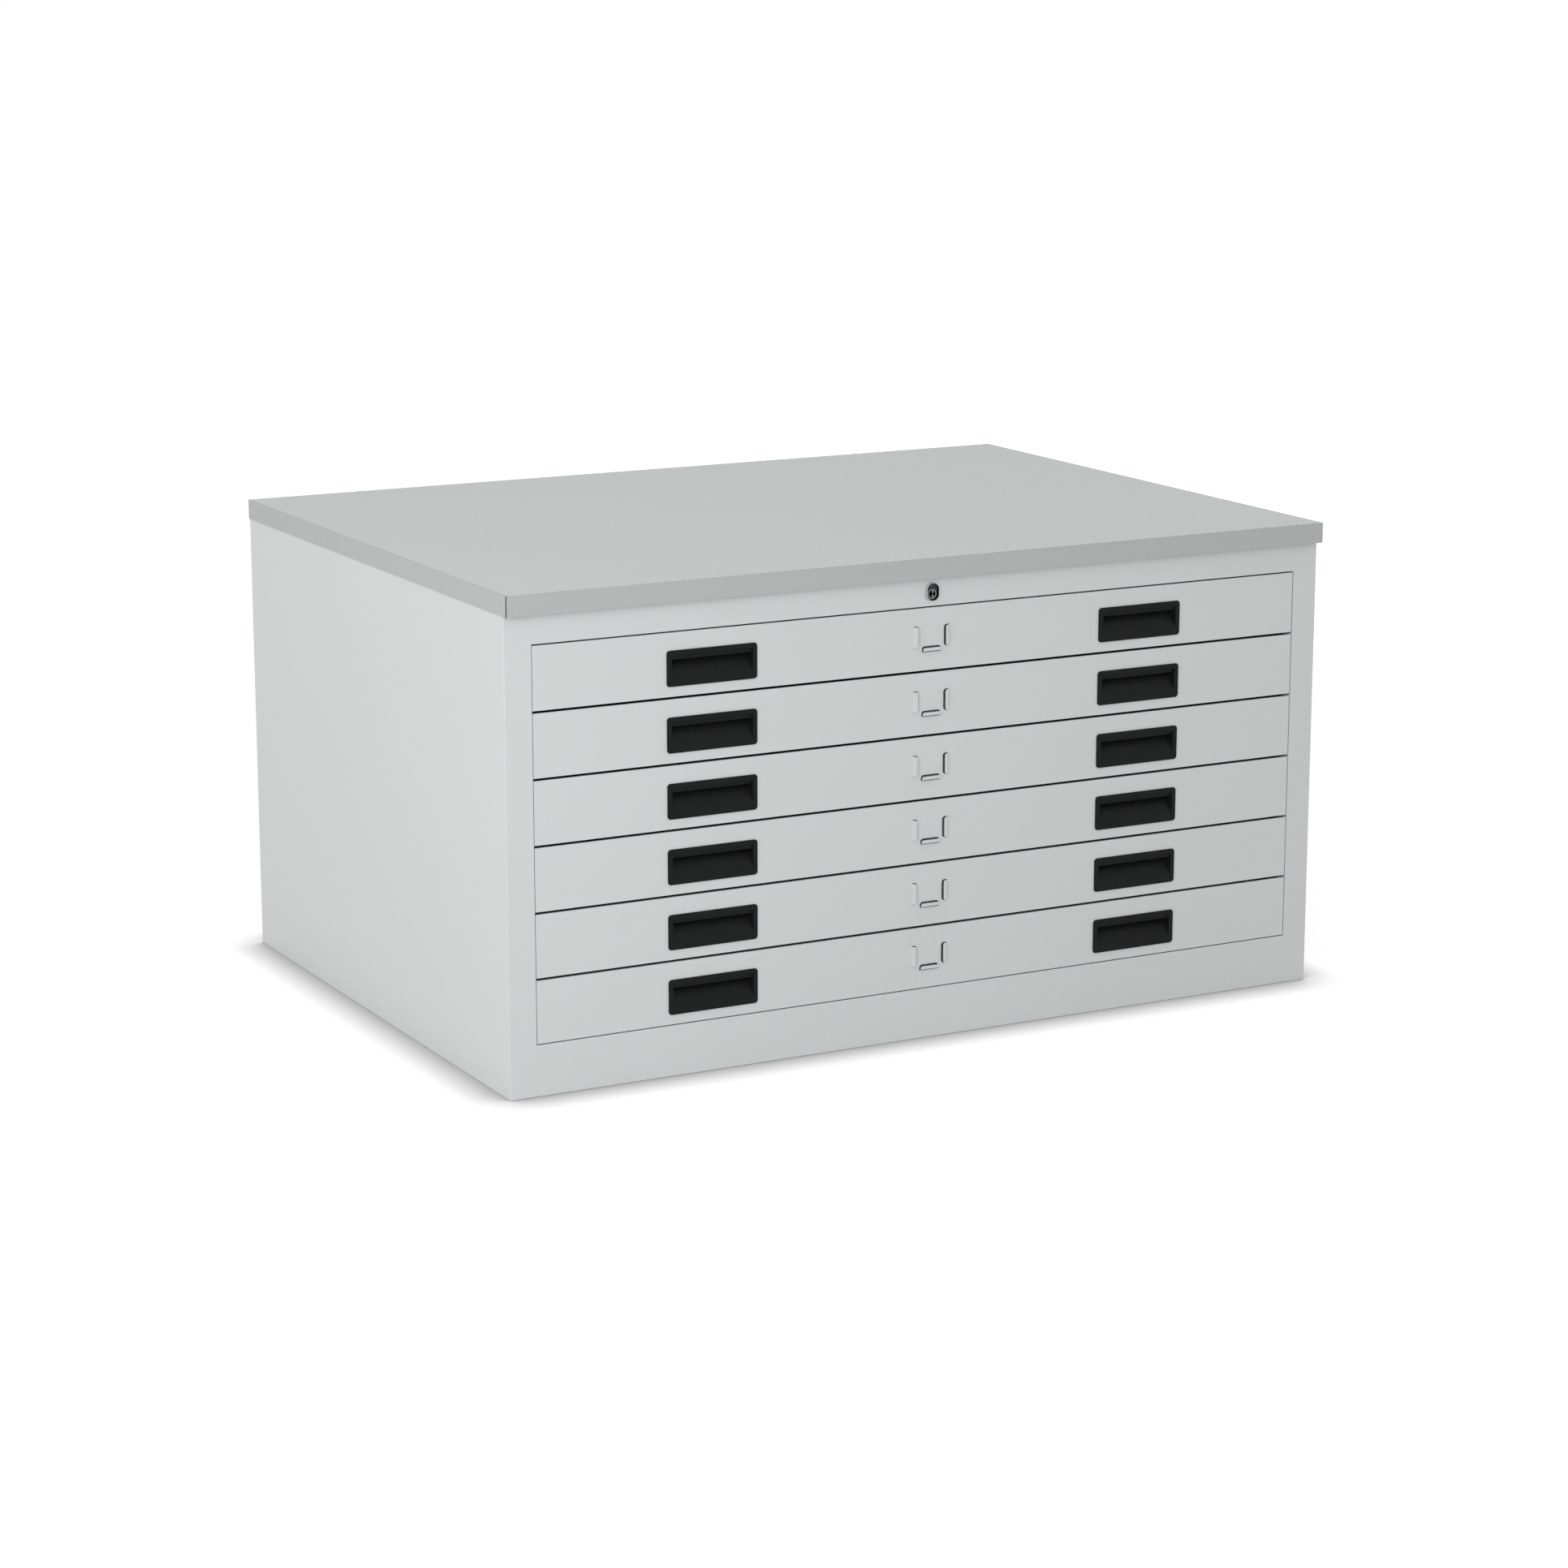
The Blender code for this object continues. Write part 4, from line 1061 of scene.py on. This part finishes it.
def makeBezel():
    low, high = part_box("lock_housing")
    plugLow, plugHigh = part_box("lock_plug")
    axisZ = (plugLow.z + plugHigh.z) / 2
    middleZ = (low.z + high.z) / 2
    width, height = high.x - low.x, high.z - low.z
    face = low.y
    outline = stadium(0, middleZ, width, height)
    body = extrudeOutline("lock_bezel", outline, "y", face, face + bezel["proud"])
    halfway = face + bezel["proud"] / 2
    bevelWhere(body, bezel["edge"], bezel["edgeSteps"], lambda point: point.y < halfway)
    barrel = circle(0, axisZ, bezel["barrelRadius"])
    combine(body, "UNION", [extrudeOutline("barrel", barrel, "y", halfway, high.y)])
    inner = stadium(0, middleZ, width - 2 * bezel["rim"], height - 2 * bezel["rim"])
    bore = circle(0, axisZ, bezel["boreRadius"])
    combine(body, "DIFFERENCE", [
        extrudeOutline("recess", inner, "y", face - overrun / 2, face + bezel["recess"]),
        extrudeOutline("bore", bore, "y", face - overrun / 2, high.y + overrun / 2),
    ])
    soften(body, bezel["innerEdge"], 2, 35)
    # Inside the rim, the recess floor is painted darker and its walls near black, as painted shade.
    body.data.materials.clear()
    for material in (finishes["lock_chrome"], paintedRecessShade, paintedDeepShade):
        body.data.materials.append(material)
    reach = width / 2 - bezel["rim"] + 0.0001
    straight = height / 2 - width / 2
    for polygon in body.data.polygons:
        centre = polygon.center
        off = max(abs(centre.z - middleZ) - straight, 0)
        inside = math.hypot(centre.x, off) < reach
        if inside and centre.y > face + 0.0003:
            polygon.material_index = 1 if polygon.normal.y < -0.7 else 2
    finishPiece(body, "cabinet", ["lock_housing"])


def spinProfile(name, profile, centreZ, steps=48):
    # Turns (radius, y) points round the plug's axis. The first and last are on the axis.
    shape = bmesh.new()
    rings = []
    for radius, y in profile:
        if radius == 0:
            rings.append([shape.verts.new((0, y, centreZ))])
            continue
        turns = [2 * math.pi * step / steps for step in range(steps)]
        points = [(radius * math.cos(turn), y, centreZ + radius * math.sin(turn)) for turn in turns]
        rings.append([shape.verts.new(point) for point in points])
    for near, far in zip(rings, rings[1:]):
        for step in range(steps):
            after = (step + 1) % steps
            if len(near) == 1:
                shape.faces.new((near[0], far[step], far[after]))
            elif len(far) == 1:
                shape.faces.new((near[step], far[0], near[after]))
            else:
                shape.faces.new((near[step], far[step], far[after], near[after]))
    bmesh.ops.recalc_face_normals(shape, faces=shape.faces)
    return fromShape(name, shape)


def makePlug():
    low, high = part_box("lock_plug")
    axisZ = (low.z + high.z) / 2
    face = low.y
    radius = plug["radius"]
    ringIn = radius - plug["chamfer"] - plug["ring"]
    grooveIn = ringIn - plug["groove"]
    chamfer = plug["chamfer"]
    dish, groove = face + plug["dish"], face + plug["grooveDepth"]
    profile = [
        (0, dish), (grooveIn, dish), (grooveIn, groove), (ringIn, groove), (ringIn, face),
        (radius - chamfer, face), (radius, face + chamfer), (radius, high.y), (0, high.y),
    ]
    body = spinProfile("lock_plug_face", profile, axisZ)
    half, tall, step = plug["keyWidth"] / 2, plug["keyHeight"] / 2, plug["keyStep"]
    keyway = [
        (-half, axisZ - tall), (half, axisZ - tall), (half, axisZ - step), (half + step / 2, axisZ - step),
        (half + step / 2, axisZ + step), (half, axisZ + step), (half, axisZ + tall), (-half, axisZ + tall),
    ]
    cutter = extrudeOutline("keyway", keyway, "y", face - overrun / 2, face + plug["keyDepth"])
    combine(body, "DIFFERENCE", [cutter])

    def inKeyway(point):
        return abs(point.x) < plug["keyWidth"] and abs(point.z - axisZ) < tall + 0.0001

    bevelWhere(body, plug["keyChamfer"], 1, lambda point: inKeyway(point) and abs(point.y - dish) < 0.00001)
    soften(body, 0.00008, 1, 35)
    # The plug's middle and groove are painted black as shade, and the keyway's sloped faces take chrome as
    # a painted highlight.
    body.data.materials.clear()
    for material in (plugFace, paintedDeepShade, finishes["lock_chrome"]):
        body.data.materials.append(material)
    for polygon in body.data.polygons:
        centre = polygon.center
        if math.hypot(centre.x, centre.z - axisZ) < ringIn - 0.0001:
            sloped = inKeyway(centre) and -0.95 < polygon.normal.y < -0.3
            polygon.material_index = 2 if sloped else 1
    finishPiece(body, "lock_cylinder", ["lock_plug"])


makeBezel()
makePlug()
print("lock is built")


# Body and worktop

sheetEdges = {"edge": 0.00018, "segments": 2}
boardEdges = {"edge": 0.00022, "segments": 2}
cornerSeam = {"width": 0.0009}  # dark glue line where two edge bands meet
weld = {"reach": 0.0006}  # how far a rail's ends run into the stiles


def makeBodyShell():
    # Sides, rails and stiles, welded and ground flush into one sheet body.
    shell = copyOfNode("body_shell", "left_side_panel")
    others = [copyOfNode(node, node) for node in ("right_side_panel", "top_rail", "plinth_rail")]
    for rail in others[1:]:
        end = max(vert.co.x for vert in rail.data.vertices)
        for vert in rail.data.vertices:
            if abs(vert.co.x) > end - 0.0001:
                vert.co.x += math.copysign(weld["reach"], vert.co.x)
    combine(shell, "UNION", others)
    soften(shell, sheetEdges["edge"], sheetEdges["segments"], 40)
    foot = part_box("left_side_panel")[0].z  # the rounded edges may not dip under the floor
    for vert in shell.data.vertices:
        vert.co.z = max(vert.co.z, foot)
    shell.data.materials.clear()
    shell.data.materials.append(finishes["body_paint"])
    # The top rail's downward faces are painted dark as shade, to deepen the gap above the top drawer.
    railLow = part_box("top_rail")[0].z
    shell.data.materials.append(paintedShadeAndGlue)
    for polygon in shell.data.polygons:
        if polygon.normal.z < -0.5 and abs(polygon.center.z - railLow) < 0.002:
            polygon.material_index = 1
    sheets = ["left_side_panel", "right_side_panel", "top_rail", "plinth_rail"]
    finishPiece(shell, "cabinet", sheets)


def makeBackSheet():
    sheet = copyOfNode("back_sheet", "back_panel")
    soften(sheet, sheetEdges["edge"], sheetEdges["segments"], 40)
    finishPiece(sheet, "cabinet", ["back_panel"], finishes["body_paint"])


def seamCutters(low, high, outerY):
    # Three-sided prisms that take off the two outer corners of a front or back band.
    width = cornerSeam["width"]
    inward = math.copysign(width, (low.y + high.y) / 2 - outerY)
    cutters = []
    for outerX, side in ((low.x, 1), (high.x, -1)):
        outline = [
            (outerX - side * width, outerY - inward), (outerX + side * 2 * width, outerY - inward),
            (outerX - side * width, outerY + 2 * inward),
        ]
        cutters.append(extrudeOutline("seamCut", outline, "z", low.z - overrun, high.z + overrun))
    return cutters


def makeWorktop():
    for part in ("board", "edge_left", "edge_right", "edge_front", "edge_back"):
        node = "worktop_" + part
        board = copyOfNode("top_" + part, node)
        slot = nodeSlots[node]
        board.data.materials.clear()
        board.data.materials.append(finishes[slot])
        low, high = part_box(node)
        if part in ("edge_front", "edge_back"):
            combine(board, "DIFFERENCE", seamCutters(low, high, low.y if part == "edge_front" else high.y))
        soften(board, boardEdges["edge"], boardEdges["segments"], 40)
        board.data.materials.append(paintedShadeAndGlue)
        for polygon in board.data.polygons:
            if abs(polygon.normal.x) > 0.5 and abs(polygon.normal.y) > 0.5:
                polygon.material_index = 1
        finishPiece(board, "cabinet", [node])


makeBodyShell()
makeBackSheet()
makeWorktop()
print("body sheets and worktop are built")


# Rivets at the back

rivet = {
    "radius": 0.0024,
    "height": 0.0009,
    "rings": 4,
    "sides": 12,
    "rows": 6,
    "inset": 0.0075,  # from the side's outer face to the rivet's middle
    "margin": 0.040,  # from the floor and from the top to the end rivets
}


def makeRivet(centreX, centreZ, backY):
    # A domed head on the +Y side of a sheet, closed at its foot.
    profile = [(0, backY + rivet["height"])]
    for ring in range(1, rivet["rings"] + 1):
        angle = ring / rivet["rings"] * math.pi / 2
        profile.append((rivet["radius"] * math.sin(angle), backY + rivet["height"] * math.cos(angle)))
    profile.append((0, backY - 0.0001))
    head = spinProfile("rivet", profile, centreZ, rivet["sides"])
    for vert in head.data.vertices:
        vert.co.x += centreX
    head.data.shade_smooth()
    head.data.set_sharp_from_angle(angle=math.radians(50))
    return head


def makeRivetTree():
    tree, start, end = newTree("rivetGrid", [
        ("Columns", "NodeSocketInt", 2),
        ("Rows", "NodeSocketInt", 6),
        ("Column Step", "NodeSocketFloat", 1.0),
        ("Row Step", "NodeSocketFloat", 0.1),
        ("Finish", "NodeSocketMaterial", None),
    ])
    across = addNode(tree, "GeometryNodeMeshLine", {"mode": "OFFSET"})
    upward = addNode(tree, "GeometryNodeMeshLine", {"mode": "OFFSET"})
    tree.links.new(start.outputs["Columns"], across.inputs["Count"])
    tree.links.new(start.outputs["Rows"], upward.inputs["Count"])
    tree.links.new(vector(tree, start.outputs["Column Step"]), across.inputs["Offset"])
    tree.links.new(vector(tree, None, None, start.outputs["Row Step"]), upward.inputs["Offset"])
    grid = addNode(tree, "GeometryNodeInstanceOnPoints")
    tree.links.new(across.outputs["Mesh"], grid.inputs["Points"])
    tree.links.new(upward.outputs["Mesh"], grid.inputs["Instance"])
    points = addNode(tree, "GeometryNodeRealizeInstances")
    tree.links.new(grid.outputs["Instances"], points.inputs["Geometry"])
    heads = addNode(tree, "GeometryNodeInstanceOnPoints")
    tree.links.new(points.outputs["Geometry"], heads.inputs["Points"])
    tree.links.new(start.outputs["Geometry"], heads.inputs["Instance"])
    closeTree(tree, start, end, heads.outputs["Instances"])
    return tree


def makeBackRivets():
    low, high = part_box("left_side_panel")
    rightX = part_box("right_side_panel")[1].x
    firstX = low.x + rivet["inset"]
    heads = makeRivet(firstX, low.z + rivet["margin"], high.y)
    heads.name = "back_rivets"
    applyTree(heads, makeRivetTree(), {
        "Columns": 2,
        "Rows": rivet["rows"],
        "Column Step": rightX - rivet["inset"] - firstX,
        "Row Step": (high.z - low.z - 2 * rivet["margin"]) / (rivet["rows"] - 1),
        "Finish": finishes["body_paint"],
    })
    finishPiece(heads, "cabinet", [])


makeBackRivets()
print("rivets are built")
